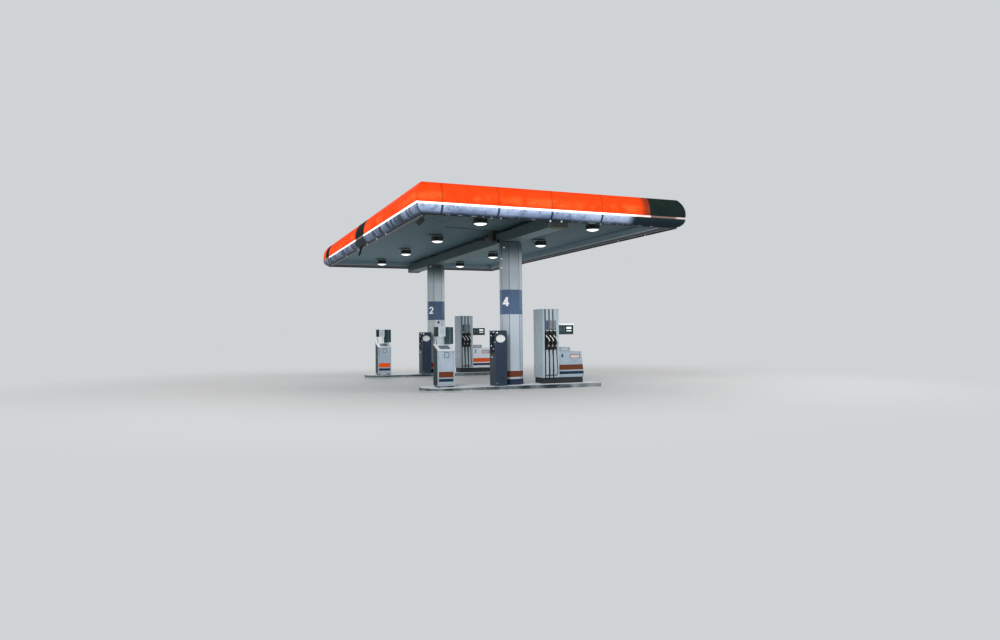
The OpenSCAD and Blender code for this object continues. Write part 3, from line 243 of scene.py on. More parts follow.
def grained(name, dark, pale, scale, rough, depth, spots=0.0, side=None, zones=()):
    """Stone, rubber or cast surfaces: grain of two tones with pits, side being the tones of upright faces."""
    s = Shader(name)
    g = s.noise(scale, 6.0, 0.65)
    c = s.mix(s.ramp(g, 0.35, 0.68), dark, pale)
    # Upright faces take the side tones; for the concrete these dark sides are painted shade.
    if side:
        c = s.mix(s.ramp(abs(s.nz), 0.4, 0.8), s.mix(s.ramp(g, 0.35, 0.68), *side), c)
    for mask, tone in zones:
        c = s.mix(mask(s), c, tone)
    c = s.mix(s.ramp(s.noise(1.4, 5.0, 0.6), 0.35, 0.72, 0.0, 0.35), c, dark)
    if spots:
        c = s.mix(s.ramp(s.noise(5.5, 6.0, 0.7), 0.58, 0.72, 0.0, spots), c, srgb(dark, 0.45))
    s.finish({"Base Color": s.mix(s.ramp(s.nz, 0.5, 0.95) * 0.12, c, DUST),
              "Roughness": s.ramp(g, 0.2, 0.8, rough - 0.1, min(rough + 0.12, 1.0))},
             (g, depth), (s.noise(scale * 4, 2.0), depth * 0.3))


def glow(name, colour, strength, rough=0.3, dark=None, mask=None):
    """A surface that shines a little, where the mask says so if there is one, and has the dark colour elsewhere."""
    s = Shader(name)
    big, fine = s.noise(2.2, 3.0), s.noise(60.0, 3.0)
    base = s.mix(s.ramp(big, 0.3, 0.7), srgb(colour, 0.93), colour)
    base = s.mix(s.ramp(fine, 0.64, 0.74, 0.0, 0.22), base, DIRT)
    light = s.mix(s.ramp(big, 0.25, 0.75), srgb(colour, 0.88), colour)
    power = s.ramp(fine, 0.2, 0.8, strength * 0.94, strength * 1.04)
    if mask:
        lit = mask(s)
        base, light, power = s.mix(lit, dark, base), s.mix(lit, srgb(dark, 4.0), light), lit * strength
    s.finish({"Base Color": base, "Emission Color": light, "Emission Strength": power,
              "Roughness": s.ramp(fine, 0.2, 0.8, rough, rough + 0.1)}, (s.noise(300.0, 2.0), 0.0002))


def fascia_paint(side):
    """Lit orange skin: brighter patches over the lamps behind, dark creases at the joints, and unlit panels painted
    near-black as painted shade.
    """
    s = Shader("fascia_" + side)
    near = s.to_joint(side)
    big, mid, fine = s.noise(0.9, 3.0, 0.55), s.noise(3.1, 4.0, 0.55), s.noise(70.0, 4.0, 0.6)
    runs = s.noise(1.0, 5.0, 0.55, (15.0, 15.0, 1.1))
    lit = 1.0
    if side == "front":
        lit = (s.fade(s.x, 2.33, 2.56) | s.band(s.x, 2.30, 2.69, 0.005)) * s.ramp(s.x, 2.34, 2.60, 1.0, 0.30)
    elif side == "left":
        lit = 1.0 - (s.band(s.y, -1.07, 0.275, 0.07) | s.band(s.y, 5.66, 6.45, 0.03))
    elif side == "right":
        lit = s.ramp(s.y, -6.5, -6.38)
    tones = s.ramp(mid, 0.3, 0.7)
    # Unlit panels get a near-black colour in place of their orange: painted shade.
    base = s.mix(lit, s.mix(tones, (20, 38, 36), (32, 42, 38)), s.mix(tones, (112, 38, 16), (128, 46, 20)))
    darkening = s.ramp(fine, 0.64, 0.76, 0.0, 0.16) | s.ramp(runs, 0.58, 0.82, 0.0, 0.16) | s.fade(near, 0.003, 0.014, 0.5)
    # The tubes behind show as soft paler patches in the lower half
    patch = s.ramp(big * 0.5 + mid * 0.5, 0.44, 0.6) * s.band(s.z, 4.84, 5.02, 0.07)
    corner = s.ramp(HALF_W + HALF_L - (abs(s.x) + abs(s.y)), 0.0, 0.12, 0.75, 1.0)
    power = s.ramp(abs(s.z - 4.95), 0.05, 0.36, 1.0, 0.84) * corner * s.ramp(near, 0.0, 0.045, 0.70, 1.0)
    power = power * lit * s.ramp(s.nz, 0.6, 0.99, 1.0, 0.2)
    s.finish({"Base Color": s.mix(s.ramp(s.nz, 0.8, 0.99) * 0.35, s.mix(darkening, base, (56, 30, 24)), (120, 92, 80)),
              "Emission Color": s.mix(patch, (255, 66, 6), (255, 100, 40)),
              "Emission Strength": power * s.ramp(big, 0.3, 0.7, 0.88, 0.96),
              "Roughness": s.ramp(fine, 0.2, 0.8, 0.6, 0.72), "Specular IOR Level": 0.02},
             (s.noise(1.3, 2.0), 0.004), (s.noise(260.0, 2.0), 0.0002))


def band_paint(side):
    """Glossy blue-grey sheet, mottled and dented, darker at its joints and mitres; painted light makes the front paler
    towards its right, and painted shade darkens the front's right end and most of the left side.
    """
    s = Shader("band_" + side)
    big, blot, fine = s.noise(1.5, 5.0, 0.6), s.noise(7.0, 5.0, 0.6), s.noise(60.0, 4.0, 0.6)
    runs = s.noise(1.0, 5.0, 0.55, (22.0, 22.0, 2.2))
    c = s.mix(s.ramp(big, 0.3, 0.7), (120, 140, 176), (174, 194, 232))
    c = s.mix(s.ramp(s.z, 4.60, 4.73, 0.0, 0.8), c, (198, 216, 248))
    c = s.mix(s.ramp(blot, 0.48, 0.7, 0.0, 0.6), c, (76, 92, 118))
    darkening = s.ramp(runs, 0.52, 0.76, 0.0, 0.55) | s.fade(s.to_joint(side), 0.008, 0.05, 0.95)
    darkening = darkening | s.fade(s.z + blot * 0.07, 4.57, 4.635, 0.8)
    darkening = darkening | s.fade(abs(abs(s.y) - abs(s.x) - (HALF_L - HALF_W)), 0.012, 0.035, 0.9)
    if side == "front":
        # Painted light: paler towards the right of the front; painted shade past x 1.88.
        c = s.mix(s.ramp(s.x, 0.3, 1.5, 0.0, 0.45), c, (208, 224, 255))
        darkening = darkening | s.ramp(s.x, 1.88, 2.24, 0.0, 0.98)
    elif side == "left":
        # Painted shade: creases over the left side, and the stretch under its unlit panels.
        crease_shade = s.ramp(s.noise(1.0, 4.0, 0.6, (0.6, 4.2, 0.8)), 0.42, 0.56, 0.86, 0.2)
        darkening = darkening | crease_shade * s.ramp(s.y, -6.6, -6.2, 0.3, 1.0) | s.band(s.y, -1.1, 0.45, 0.18) * 0.99
    s.finish({"Base Color": s.mix(darkening, c, (15, 34, 38)), "Specular IOR Level": 0.025,
              "Roughness": s.ramp(fine, 0.2, 0.8, 0.36, 0.5)},
             (s.noise(2.1, 3.0, 0.5), 0.014), (s.noise(240.0, 2.0), 0.0002))


def along(axis, lo, hi, a=0.0, b=1.0):
    """A mask that goes from a to b while x, y, z, nx, ny or nz goes from lo to hi."""
    return lambda s: s.ramp(getattr(s, axis), lo, hi, a, b)


def both(one, other):
    return lambda s: one(s) * other(s)


BOWL = along("z", 4.541, 4.549, 1.0, 0.0)
CEILING_FRONT_SHADE = along("y", -6.9, 2.5, 0.85, 0.0)
CEILING_FAR_LIGHT = along("y", 0.0, 6.0, 0.0, 0.35)
COLUMN_TOP_SHADE = along("z", 3.5, 4.25, 0.0, 0.96)
STEP_BOX = along("z", 1.072, 1.076, 0.0, 0.9)
BEAM_UNDERSIDE_LIGHT = along("nz", -0.9, -0.5, 1.0, 0.0)
TRIM_LIP_HIGHLIGHT = along("z", 4.604, 4.612, 1.0, 0.0)
FAR_ROW_LIT = along("y", -0.5, 0.5)
MINUS_X_SHADE = along("nx", -0.8, -0.4, 1.0, 0.0)
BOX_END_SHADE = along("x", -2.287, -2.283, 1.0, 0.0)
LEFT_RAIL_SHADE = along("x", -3.67, -3.66, 0.75, 0.0)
NEAR_FOOT_SHADE = both(along("z", 0.9, 2.3, 0.4, 0.0), along("y", -0.5, 0.5, 1.0, 0.0))
ON_CEILING = both(along("z", 4.69, 4.70), along("x", -0.41, -0.40, 1.0, 0.0))


def strip_lit(s):
    """The light strip is half lit, then unlit, at the front right corner, and unlit at the left side's dark panels."""
    front = s.ramp(s.x, 2.15, 2.35) * 0.45 | s.ramp(s.x, 2.68, 2.72) * s.ramp(s.x, 3.45, 3.6, 1.0, 0.65)
    left = s.band(s.y, -1.0, 0.2, 0.08) | s.ramp(s.y, 5.5, 5.8)
    return 1.0 - (front * s.ramp(s.y, -6.4, -6.6) | s.ramp(s.x, -3.6, -3.7) * left) * 0.96


# Where the rail's clips get a painted highlight.
def clip_highlight_mask(s):
    return s.fade(abs(s.x), 0.6, 0.7) | s.ramp(abs(s.x), 3.6, 3.65, 0.0, 0.6)


def lane_x(lane):
    """Middle of a hose slot."""
    return PUMP_X + SLOT_X0 + SLOT_P * lane + SLOT_W / 2


def slot_shade(s):
    """Inside the hose slots, where painted shade goes."""
    half = SLOT_W / 2 + 0.0015
    m, *more = (s.band(s.x, lane_x(k) - half, lane_x(k) + half, 0.0005) for k in range(3))
    for slot in more:
        m = m | slot
    return m * s.fade(abs(abs(s.y) - ROWS[1]), 0.350, 0.357) * s.fade(s.z, 2.35, 2.359)


def beam_end(s):
    return s.ramp(abs(s.ny), 0.5, 0.8) * s.ramp(abs(s.y), 6.6, 6.7)


def kerb_foot(s):
    """The kerb's pale foot, which gets thinner towards the pumps."""
    return s.fade(s.z - s.ramp(s.x, -2.5, 2.0, 0.05, 0.004), -0.006, 0.006) * 0.8


def make_materials():
    for side in SIDES:
        fascia_paint(side)
        band_paint(side)
    paint("tray", (122, 126, 128), 0.5, 0.55, wave=0.004)
    paint("rail", (42, 48, 51), 0.45, 0.3, streak=0.5)
    # The trim's lower lip is painted near-white: a painted highlight.
    paint("trim", (136, 160, 170), 0.4, wave=0.003, streak=0.3, blot=0.05, zones=[(TRIM_LIP_HIGHLIGHT, (224, 231, 233))])
    # Painted shade darkens the ceiling towards the front, and painted light makes it paler towards the back.
    paint("ceiling", (104, 132, 141), 0.42, wave=0.002, streak=0.12, blot=0.05,
          zones=[(CEILING_FRONT_SHADE, (52, 74, 80)), (CEILING_FAR_LIGHT, (126, 156, 166))])
    paint("deck", (132, 136, 136), 0.5, 0.45, wave=0.003, dust=0.7, blot=0.2)
    # The beam's underside is painted paler than its sides: painted light.
    paint("beam", (64, 84, 89), 0.5, streak=0.25, blot=0.1,
          zones=[(BEAM_UNDERSIDE_LIGHT, (88, 112, 118)), (beam_end, (22, 31, 33))])
    paint("steel", (126, 130, 130), 0.5, 0.2)
    paint("core", (176, 180, 180), 0.42, 0.2)
    # The far row is painted lighter, and the near row's lower part and every column's top darker: painted light and
    # painted shade.
    paint("clad_white", (204, 216, 228), 0.22, coat=0.3, foot=(0.12, 0.6), blot=0.03, streak=0.14, speck=0.16,
          zones=[(FAR_ROW_LIT, (232, 242, 250)), (NEAR_FOOT_SHADE, (120, 138, 154)), (COLUMN_TOP_SHADE, (52, 74, 82))])
    paint("clad_band", (88, 114, 148), 0.28, coat=0.25, blot=0.04, streak=0.12, speck=0.16)
    paint("skirt", (26, 42, 68), 0.42, foot=(0.12, 0.3))
    paint("lamp", (52, 56, 57), 0.5, 0.25, dust=0.5)
    paint("lamp_bar", (84, 88, 88), 0.5, 0.5)
    paint("mount", (44, 50, 50), 0.5, zones=[(ON_CEILING, (92, 117, 125))])
    paint("camera", (46, 52, 52), 0.42)
    paint("board", (24, 32, 29), 0.6, speck=0.5)
    # The hose slots are painted near-black inside: painted shade.
    paint("tower", (186, 202, 212), 0.3, foot=(0.3, 0.9), blot=0.06, zones=[(slot_shade, (16, 20, 22))])
    # The far row's cabinets are painted lighter: painted light.
    paint("cabinet", (164, 182, 196), 0.32, foot=(0.3, 0.8), blot=0.06,
          zones=[(FAR_ROW_LIT, (236, 246, 255)), (STEP_BOX, (150, 162, 176))])
    paint("head", (38, 62, 69), 0.25, coat=0.4)
    paint("outlet", (96, 99, 102), 0.35, 0.8)
    paint("terminal", (46, 60, 79), 0.36, foot=(0.12, 0.6), dirt=(38, 50, 58))
    # Faces turned to -X are painted darker: painted shade.
    paint("terminal_leaf", (43, 57, 75), 0.34, foot=(0.12, 0.6), dirt=(38, 50, 58),
          zones=[(MINUS_X_SHADE, (24, 44, 62))])
    paint("panel", (34, 38, 44), 0.35, dust=0.2)
    paint("bin", (168, 184, 198), 0.34, foot=(0.16, 0.6))
    # The front's left end is painted in the dark side colour: painted shade.
    paint("towel", (190, 206, 212), 0.3, zones=[(BOX_END_SHADE, (34, 48, 49))])
    # The cap's faces turned to -X are painted dark: painted shade.
    paint("cap", (236, 241, 246), 0.28, blot=0.03, dust=0.1, zones=[(MINUS_X_SHADE, (34, 48, 49))])
    paint("wash", (38, 68, 75), 0.22, coat=0.3)
    paint("wash_edge", (128, 150, 150), 0.25)
    paint("white_bit", (232, 234, 234), 0.3)
    # The near row's orange bits are painted dark brown, the far row's orange: painted shade on the near row.
    paint("orange_bit", (106, 50, 22), 0.4, zones=[(FAR_ROW_LIT, (236, 84, 14))])
    paint("blue_bit", (12, 42, 64), 0.32)
    paint("red_bit", (178, 46, 52), 0.35)
    # Flaps on the left side's rail are painted dark: painted shade.
    paint("band_bit", (150, 165, 192), 0.4, zones=[(LEFT_RAIL_SHADE, (40, 50, 54))])
    paint("plate_blue", (46, 70, 118), 0.3)
    paint("plate_grey", (124, 132, 138), 0.34)
    paint("plate_pale", (206, 209, 210), 0.3)
    paint("screw", (150, 152, 152), 0.3, 0.9)
    paint("glass", (12, 16, 20), 0.08, coat=0.5, speck=0.1)
    paint("screen", (30, 48, 56), 0.1, coat=0.6, speck=0.1)
    paint("dark_line", (30, 34, 38), 0.5)
    paint("torn", (8, 18, 19), 0.8, spec=0.02, dust=0.05, speck=0.1)
    paint("beige", (74, 72, 58), 0.5, spec=0.08)
    paint("bin_frame", (64, 76, 82), 0.4)
    paint("slate", (98, 118, 134), 0.4, dust=0.15)
    # The dark colour of the side sheets is painted shade.
    paint("side_shade", (16, 38, 44), 0.38, blot=0.12, spec=0.1)
    # The concrete's near-white tops are painted light, and its dark upright faces painted shade.
    grained("concrete", (228, 236, 244), (250, 252, 255), 70.0, 0.86, 0.0014, spots=0.12,
            side=((8, 34, 40), (34, 58, 64)), zones=[(kerb_foot, (172, 178, 178))])
    grained("plinth", (8, 19, 22), (22, 34, 38), 120.0, 0.6, 0.0004)
    grained("boot", (14, 15, 17), (36, 38, 40), 260.0, 0.55, 0.0003)
    grained("nozzle", (18, 19, 21), (42, 44, 46), 200.0, 0.5, 0.0003)
    grained("hose", (12, 12, 14), (30, 31, 33), 340.0, 0.6, 0.0003)
    grained("black", (20, 21, 23), (40, 42, 44), 150.0, 0.6, 0.0004)
    # Where the strip is unlit, its colour is painted dark: painted shade.
    glow("strip", (244, 244, 240), 1.1, dark=(104, 70, 62), mask=strip_lit)
    glow("lens", (248, 248, 244), 1.3, 0.22, dark=(44, 60, 92), mask=BOWL)
    glow("readout", (236, 242, 238), 0.55, 0.12)
    # The display lids glow a little: painted light.
    glow("lid", (236, 241, 245), 0.3)
    # The column digits glow a little: painted light.
    glow("digit", (240, 244, 248), 0.35)
    # The column's screw heads glow: a painted glint.
    glow("glint", (236, 242, 246), 0.35)
    # The rail clips glow where the mask says and are darker elsewhere: painted highlights.
    glow("clip_highlight", (226, 232, 234), 0.3, dark=(132, 150, 156), mask=clip_highlight_mask)
    glow("bead", (240, 244, 246), 0.75, 0.25)


make_materials()

LOOK = {
    "islands": "concrete", "column_cores": "core", "column_cladding": "clad_white", "column_bands": "clad_band",
    "column_skirts": "skirt", "main_beam": "beam", "roof_arms": "steel", "edge_frame": "steel",
    "roof_deck": "deck", "ceiling": "ceiling", "ceiling_trim": "trim", "fascia_tray": "tray",
    "light_strip": "strip", "lip_rail": "rail", "lamp_housings": "lamp", "lamp_lenses": "lens", "lamp_bars": "lamp_bar",
    "camera_mounts": "mount", "cameras": "camera", "hanging_boards": "board", "pump_plinths": "plinth",
    "hose_towers": "tower", "nozzle_panels": "boot", "pump_cabinets": "cabinet", "display_heads": "head",
    "display_lids": "lid", "display_windows": "readout", "nozzles": "nozzle", "hose_outlets": "outlet",
    "terminals": "terminal", "terminal_panels": "panel", "bins": "bin", "bin_feet": "black",
    "towel_boxes": "towel", "wash_panels": "wash",
}
for side in SIDES:
    LOOK.update({"fascia_" + side: "fascia_" + side, "lower_band_" + side: "band_" + side})
for node, look in LOOK.items():
    for place in NODES[node].material_slots:
        place.material = MAT[look]


def link(ob):
    scene.collection.objects.link(ob)
    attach(ob, BODY)
    return ob


def meshes(n):
    return [bmesh.new() for _ in range(n)]


def piece(name, bm, look, smooth=False):
    """A piece from its mesh; a smooth one keeps the edges that turn by more than 40 degrees."""
    me = bpy.data.meshes.new(name)
    bm.normal_update()
    bm.to_mesh(me)
    bm.free()
    me.materials.append(MAT[look])
    if smooth:
        for p in me.polygons:
            p.use_smooth = True
        me.set_sharp_from_angle(angle=math.radians(40))
    link(bpy.data.objects.new(name, me))


def fixings(name, bm):
    piece(name, bm, "screw", True)


def rounded(pts, radius, steps):
    """The polyline with its inner corners rounded."""
    pts = [Vector(p) for p in pts]
    out = [pts[0]]
    for a, b, c in zip(pts, pts[1:], pts[2:]):
        u, v = (a - b), (c - b)
        r = min(radius, u.length * 0.48, v.length * 0.48)
        p, q = b + u.normalized() * r, b + v.normalized() * r
        for k in range(steps + 1):
            t = k / steps
            out.append(p * (1 - t) ** 2 + b * 2 * t * (1 - t) + q * t ** 2)
    out.append(pts[-1])
    return out


def spaced(pts, n):
    """Evenly spaced points along the polyline, and its length."""
    total = [0.0]
    for a, b in zip(pts, pts[1:]):
        total.append(total[-1] + (b - a).length)
    out = []
    for k in range(n):
        d = total[-1] * k / (n - 1)
        i = min(max(j for j in range(len(total)) if total[j] <= d + 1e-9), len(pts) - 2)
        seg = total[i + 1] - total[i]
        out.append(pts[i].lerp(pts[i + 1], 0 if seg < 1e-9 else (d - total[i]) / seg))
    return out, total[-1]


# Hose route from a slot's middle on the tower's face: along, inwards, above the ground
HOSE_ROUTE = [(0, 0.026, 2.300), (0, 0.026, 0.450), (0.010, -0.024, 0.360), (0.049, -0.126, 0.360),
              (0.065, -0.176, 0.450), (0.065, -0.084, 1.140), (0.065, -0.084, 1.216)]


def hose(row, face, lane):
    world = []
    for a, b, z in HOSE_ROUTE:
        y = -TOWER_D / 2 + b
        world.append((lane_x(lane) + a, ROWS[row] + (y if face == 0 else -y), z))
    pts, length = spaced(rounded(world, 0.12, 7), 36)
    cu = bpy.data.curves.new("hose", "CURVE")
    cu.dimensions = "3D"
    cu.bevel_depth = HOSE_D / 2
    cu.bevel_resolution = 4
    cu.use_fill_caps = True
    sp = cu.splines.new("NURBS")
    sp.points.add(len(pts) - 1)
    for p, q in zip(sp.points, pts):
        p.co = (q.x, q.y, q.z, 1)
    sp.order_u = 3
    sp.use_endpoint_u = True
    cu.materials.append(MAT["hose"])
    ob = link(bpy.data.objects.new("hose_%d_%d_%d" % (row, face, lane), cu))
    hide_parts("hoses_near" if row == 0 else "hoses_far")


for row in (0, 1):
    for face in (0, 1):
        for lane in (0, 1, 2):
            hose(row, face, lane)


def skin(bm, a, b, n=None):
    """Quads between two loops of vertices, closed unless n says how many."""
    for k in range(n or len(a)):
        j = (k + 1) % len(a)
        bm.faces.new((a[k], a[j], b[j], b[k]))


def block(bm, lo, hi, ease, steps=1):
    """An upright block with eased edges between two of its corners."""
    lo, hi = ([pick(p) for p in zip(lo, hi)] for pick in (min, max))
    v = [bm.verts.new((x, y, z)) for x in (lo[0], hi[0]) for y in (lo[1], hi[1]) for z in (lo[2], hi[2])]
    quads = ((0, 1, 3, 2), (4, 6, 7, 5), (0, 4, 5, 1), (2, 3, 7, 6), (0, 2, 6, 4), (1, 5, 7, 3))
    faces = [bm.faces.new([v[i] for i in q]) for q in quads]
    edges = list({e for f in faces for e in f.edges})
    bmesh.ops.bevel(bm, geom=edges, offset=ease, segments=steps, profile=0.5, affect="EDGES")


def circle(n):
    return [(math.cos(2 * math.pi * k / n), math.sin(2 * math.pi * k / n)) for k in range(n)]


def lathe(bm, at, axis, profile, n=18):
    """A turned shape: profile is (radius, distance along the axis), from its back to its front or middle."""
    w = Vector(axis).normalized()
    u = w.orthogonal().normalized()
    v = w.cross(u)
    rings = [[bm.verts.new(Vector(at) + w * d + (u * c + v * s) * r) for c, s in (circle(n) if r else [(0, 0)])]
             for r, d in profile]
    bm.faces.new(rings[0][::-1])
    for a, b in zip(rings, rings[1:]):
        if len(b) > 1:
            skin(bm, a, b)
        else:
            for k in range(n):
                bm.faces.new((a[k], a[(k + 1) % n], b[0]))
    if len(rings[-1]) > 1:
        bm.faces.new(rings[-1])


def disc(r, h, *rest):
    """Profile of a disc with more steps on it."""
    return [(r, 0), (r, h), *rest]


def screw_head(r):
    return disc(r, r * 0.25, (r * 0.75, r * 0.55), (r * 0.35, r * 0.62), (r * 0.3, r * 0.3), (0, r * 0.3))


def lock(r):
    return disc(r, 0.003, (r - 0.003, 0.004), (0.003, 0.002), (0, 0.002))


def small_lamp(r, h):
    return disc(r, h, (r * 0.7, h + 0.006), (0, h + 0.008))


def bolt(bm, at, axis, r):
    """Washer, hexagon nut and the bolt's end."""
    lathe(bm, at, axis, disc(r * 1.35, r * 0.2, (r, r * 0.21)), 16)
    lathe(bm, at, axis, [(r, r * 0.1), (r, r * 0.9), (r * 0.85, r)], 6)
    lathe(bm, at, axis, [(r * 0.5, r * 0.5), (r * 0.5, r * 1.5), (r * 0.42, r * 1.6)], 10)


def rect(x0, y0, x1, y1):
    return [(x0, y0), (x1, y0), (x1, y1), (x0, y1)]


def round_rect(w, h, r, n=4):
    out = []
    for cx, cy, a0 in ((w / 2 - r, h / 2 - r, 0), (-w / 2 + r, h / 2 - r, 90),
                       (-w / 2 + r, -h / 2 + r, 180), (w / 2 - r, -h / 2 + r, 270)):
        out += arc(cx, cy, r, r, a0, a0 + 90, n)
    return out


def oval(w, h):
    return [(w / 2 * c, h / 2 * s) for c, s in circle(40)]


def arc(cx, cy, rx, ry, a0, a1, n=12):
    turns = [math.radians(a0 + (a1 - a0) * k / n) for k in range(n + 1)]
    return [(cx + rx * math.cos(a), cy + ry * math.sin(a)) for a in turns]


class Face:
    """A flat face at a place, with its right and up directions. A spot on it is given by (right, up)."""

    def __init__(self, at, right, up=UP):
        self.at, self.right, self.up = Vector(at), Vector(right).normalized(), Vector(up).normalized()
        self.out = self.right.cross(self.up)

    def spot(self, u, v, lift):
        return self.at + self.right * u + self.up * v + self.out * lift

    def loop(self, bm, outline, u, v, lift):
        at = self.spot(u, v, lift)
        return [bm.verts.new(at + self.right * x + self.up * y) for x, y in outline]

    def slab(self, bm, outline, depth, ease=0.0, lift=0.0, u=0.0, v=0.0):
        """An outline drawn out by depth, its front edges eased."""
        back, front = (self.loop(bm, outline, u, v, lift + d) for d in (0.0, depth))
        bm.faces.new(back[::-1])
        edges = bm.faces.new(front).edges
        skin(bm, back, front)
        if ease:
            bmesh.ops.bevel(bm, geom=list(edges), offset=ease, segments=2, profile=0.5, affect="EDGES")

    def ring(self, bm, outer, inner, depth, lift=0.0, u=0.0, v=0.0):
        """A flat ring between two outlines with the same number of points."""
        loops = [self.loop(bm, outline, u, v, lift + d)
                 for outline, d in ((outer, 0.0), (outer, depth), (inner, depth), (inner, 0.0))]
        for a, b in zip(loops, loops[1:] + loops[:1]):
            skin(bm, a, b)

    def plate(self, bm, u, v, size, depth, ease=0.0, lift=-SINK):
        self.slab(bm, round_rect(*size), depth, ease, lift, u, v)

    def rim(self, bm, u, v, outer, inner, depth, lift=-SINK):
        self.ring(bm, round_rect(*outer), round_rect(*inner), depth, lift, u, v)

    def turn(self, bm, us, vs, profile, n=18, lift=0.0):
        """Turned shapes at every pair of the places."""
        for u in us:
            for v in vs:
                lathe(bm, self.spot(u, v, lift), self.out, profile, n)

    def screws(self, bm, us, vs, r, lift=0.0):
        self.turn(bm, us, vs, screw_head(r), 10, lift)


class Wall(Face):
    """An upright face across X (axis 0) or Y (axis 1) that looks outwards along sign.

    A spot on it is given by the world coordinate along it and the height."""

    def __init__(self, axis, place, sign):
        out = Vector((sign, 0, 0) if axis == 0 else (0, sign, 0))
        super().__init__(out * sign * place, UP.cross(out))
        self.axis, self.place, self.sign = axis, place, sign

    def spot(self, u, z, lift=-SINK):
        across = self.place + self.sign * lift
        return Vector((across, u, z) if self.axis == 0 else (u, across, z))


def faces(half):
    """Both walls of both rows, at half a depth from each row's middle."""
    return [Wall(1, y0 + s * half, s) for y0 in ROWS for s in (-1, 1)]


def stroke(points, width):
    """A band of constant width along a polyline, as quads."""
    pts = [Vector((p[0], p[1], 0)) for p in points]
    left, right = [], []
    for i, p in enumerate(pts):
        d = (pts[min(i + 1, len(pts) - 1)] - pts[max(i - 1, 0)]).normalized()
        n = Vector((-d.y, d.x, 0)) * width / 2
        left.append((p + n)[:2])
        right.append((p - n)[:2])
    return [[left[i], left[i + 1], right[i + 1], right[i]] for i in range(len(pts) - 1)]


# Digits as outlines one unit high
DIGITS = {
    "1": [rect(0.28, 0.0, 0.45, 1.0), [(0.06, 0.72), (0.06, 0.86), (0.40, 1.0), (0.40, 0.88)]],
    "2": stroke(arc(0.33, 0.70, 0.25, 0.23, 170, -35) + [(0.10, 0.08)], 0.21) + [rect(0.02, 0.0, 0.64, 0.19)],
    "3": stroke(arc(0.31, 0.72, 0.24, 0.21, 160, -80), 0.14) + stroke(arc(0.31, 0.29, 0.26, 0.22, 80, -160), 0.14),
    "4": [rect(0.38, 0.0, 0.60, 1.0), rect(-0.02, 0.20, 0.74, 0.38),
          [(-0.02, 0.30), (0.22, 0.30), (0.60, 1.0), (0.38, 1.0)]],
}


def digit(bm, what, at, right, height):
    """A digit centred on at, its strokes lifted a little over each other."""
    for i, part in enumerate(DIGITS[what]):
        pts = [((x - 0.33) * height, (y - 0.5) * height) for x, y in part]
        if sum(p[0] * q[1] - q[0] * p[1] for p, q in zip(pts, pts[1:] + pts[:1])) < 0:
            pts.reverse()
        Face(at, right).slab(bm, pts, 0.0015 + i * 0.00002)


def stripe(bm, outline, y0, z0, z1, sunk=0.0, n=None):
    """A stripe round an outline that is given how far it grows and its height. With n quads it has two ends."""
    loops = [[bm.verts.new((x, y + y0, z)) for x, y in outline(g, z)]
             for g, z in ((-sunk, z0), (0.0015, z0), (0.0015, z1), (-sunk, z1))]
    for a, b in zip(loops, loops[1:]):
        skin(bm, b, a, n)
    if n:
        a, b, c, d = loops
        bm.faces.new((a[0], d[0], c[0], b[0]))
        bm.faces.new((a[n], b[n], c[n], d[n]))


# Width, depth and chamfer of the columns' cladding
CLAD = (0.66, 0.51, 0.17)


def octagon(g, _=0):
    """Outline of the column's cladding grown by g, the same at every height."""
    x, y, c = CLAD[0] / 2 + g, CLAD[1] / 2 + g, CLAD[2] + g * (2 - math.sqrt(2))
    return [(x, y - c), (x - c, y), (c - x, y), (-x, y - c), (-x, c - y), (c - x, -y), (x - c, -y), (x, c - y)]


def column_details():
    """Stripes, numbers, seals over the corner joints, fixings, stickers, and heads on the cladding that glow as a
    painted glint.
    """
    orange, white, scr, stick, seal, glint = meshes(6)
    low, high, mid = ([Vector(p) for p in octagon(g)] for g in (-0.0004, 0.0007, 0.0))
    for y0, number, back in zip(ROWS, "42", "31"):
        stripe(orange, octagon, y0, 0.35, 0.53, 0.0005)
        for s, what in ((-1, number), (1, back)):
            n = Vector((s, s, 0)).normalized()
            digit(white, what, Vector((s * 0.245, y0 + s * 0.17, 2.575)) + n * 0.0002, UP.cross(n), 0.27)
        for k in range(8):
            here, after = mid[k], mid[(k + 1) % 8]
            along = (after - here).normalized()
            d0, d1 = (mid[k - 1] - here).normalized() * 0.007, along * 0.007
            outline = [high[k] + d0, high[k], high[k] + d1, low[k] + d1, low[k], low[k] + d0]
            for z0, z1 in ((0.532, 2.196), (2.934, 4.336)):
                Face((0, y0, z0), (1, 0, 0), (0, 1, 0)).slab(seal, outline, z1 - z0)
            # Fixings down both sides of the joint
            for q in (here + along * 0.02, after - along * 0.02):
                for z in [0.62 + 0.52 * i for i in range(4)] + [3.06 + 0.42 * i for i in range(4)]:
                    lathe(scr, (q.x, q.y + y0, z), (along.y, -along.x, 0), screw_head(0.0045), 10)
    for s in (1, -1):
        lathe(stick, (s * 0.019, s * 3.495, 2.11), (0, -s, 0), disc(0.05, 0.001, (0.046, 0.0015)), 28)
    # Heads near the top of the chamfer towards the road, glowing as a painted glint
    for y0, t, z in ((ROWS[0], 0.35, 4.175), (ROWS[0], 0.03, 3.845), (ROWS[0], 0.03, 3.58), (ROWS[1], 0.43, 4.295)):
        lathe(glint, (-0.33 + 0.17 * t, y0 - 0.085 - 0.17 * t, z), (-1, -1, 0),
              disc(0.020, 0.004, (0.014, 0.008), (0, 0.009)), 20)
    piece("column_seals", seal, "dark_line")
    piece("column_glints", glint, "glint", True)
    piece("column_stripes", orange, "orange_bit")
    piece("column_digits", white, "digit")
    fixings("column_screws", scr)
    piece("column_stickers", stick, "plate_blue")


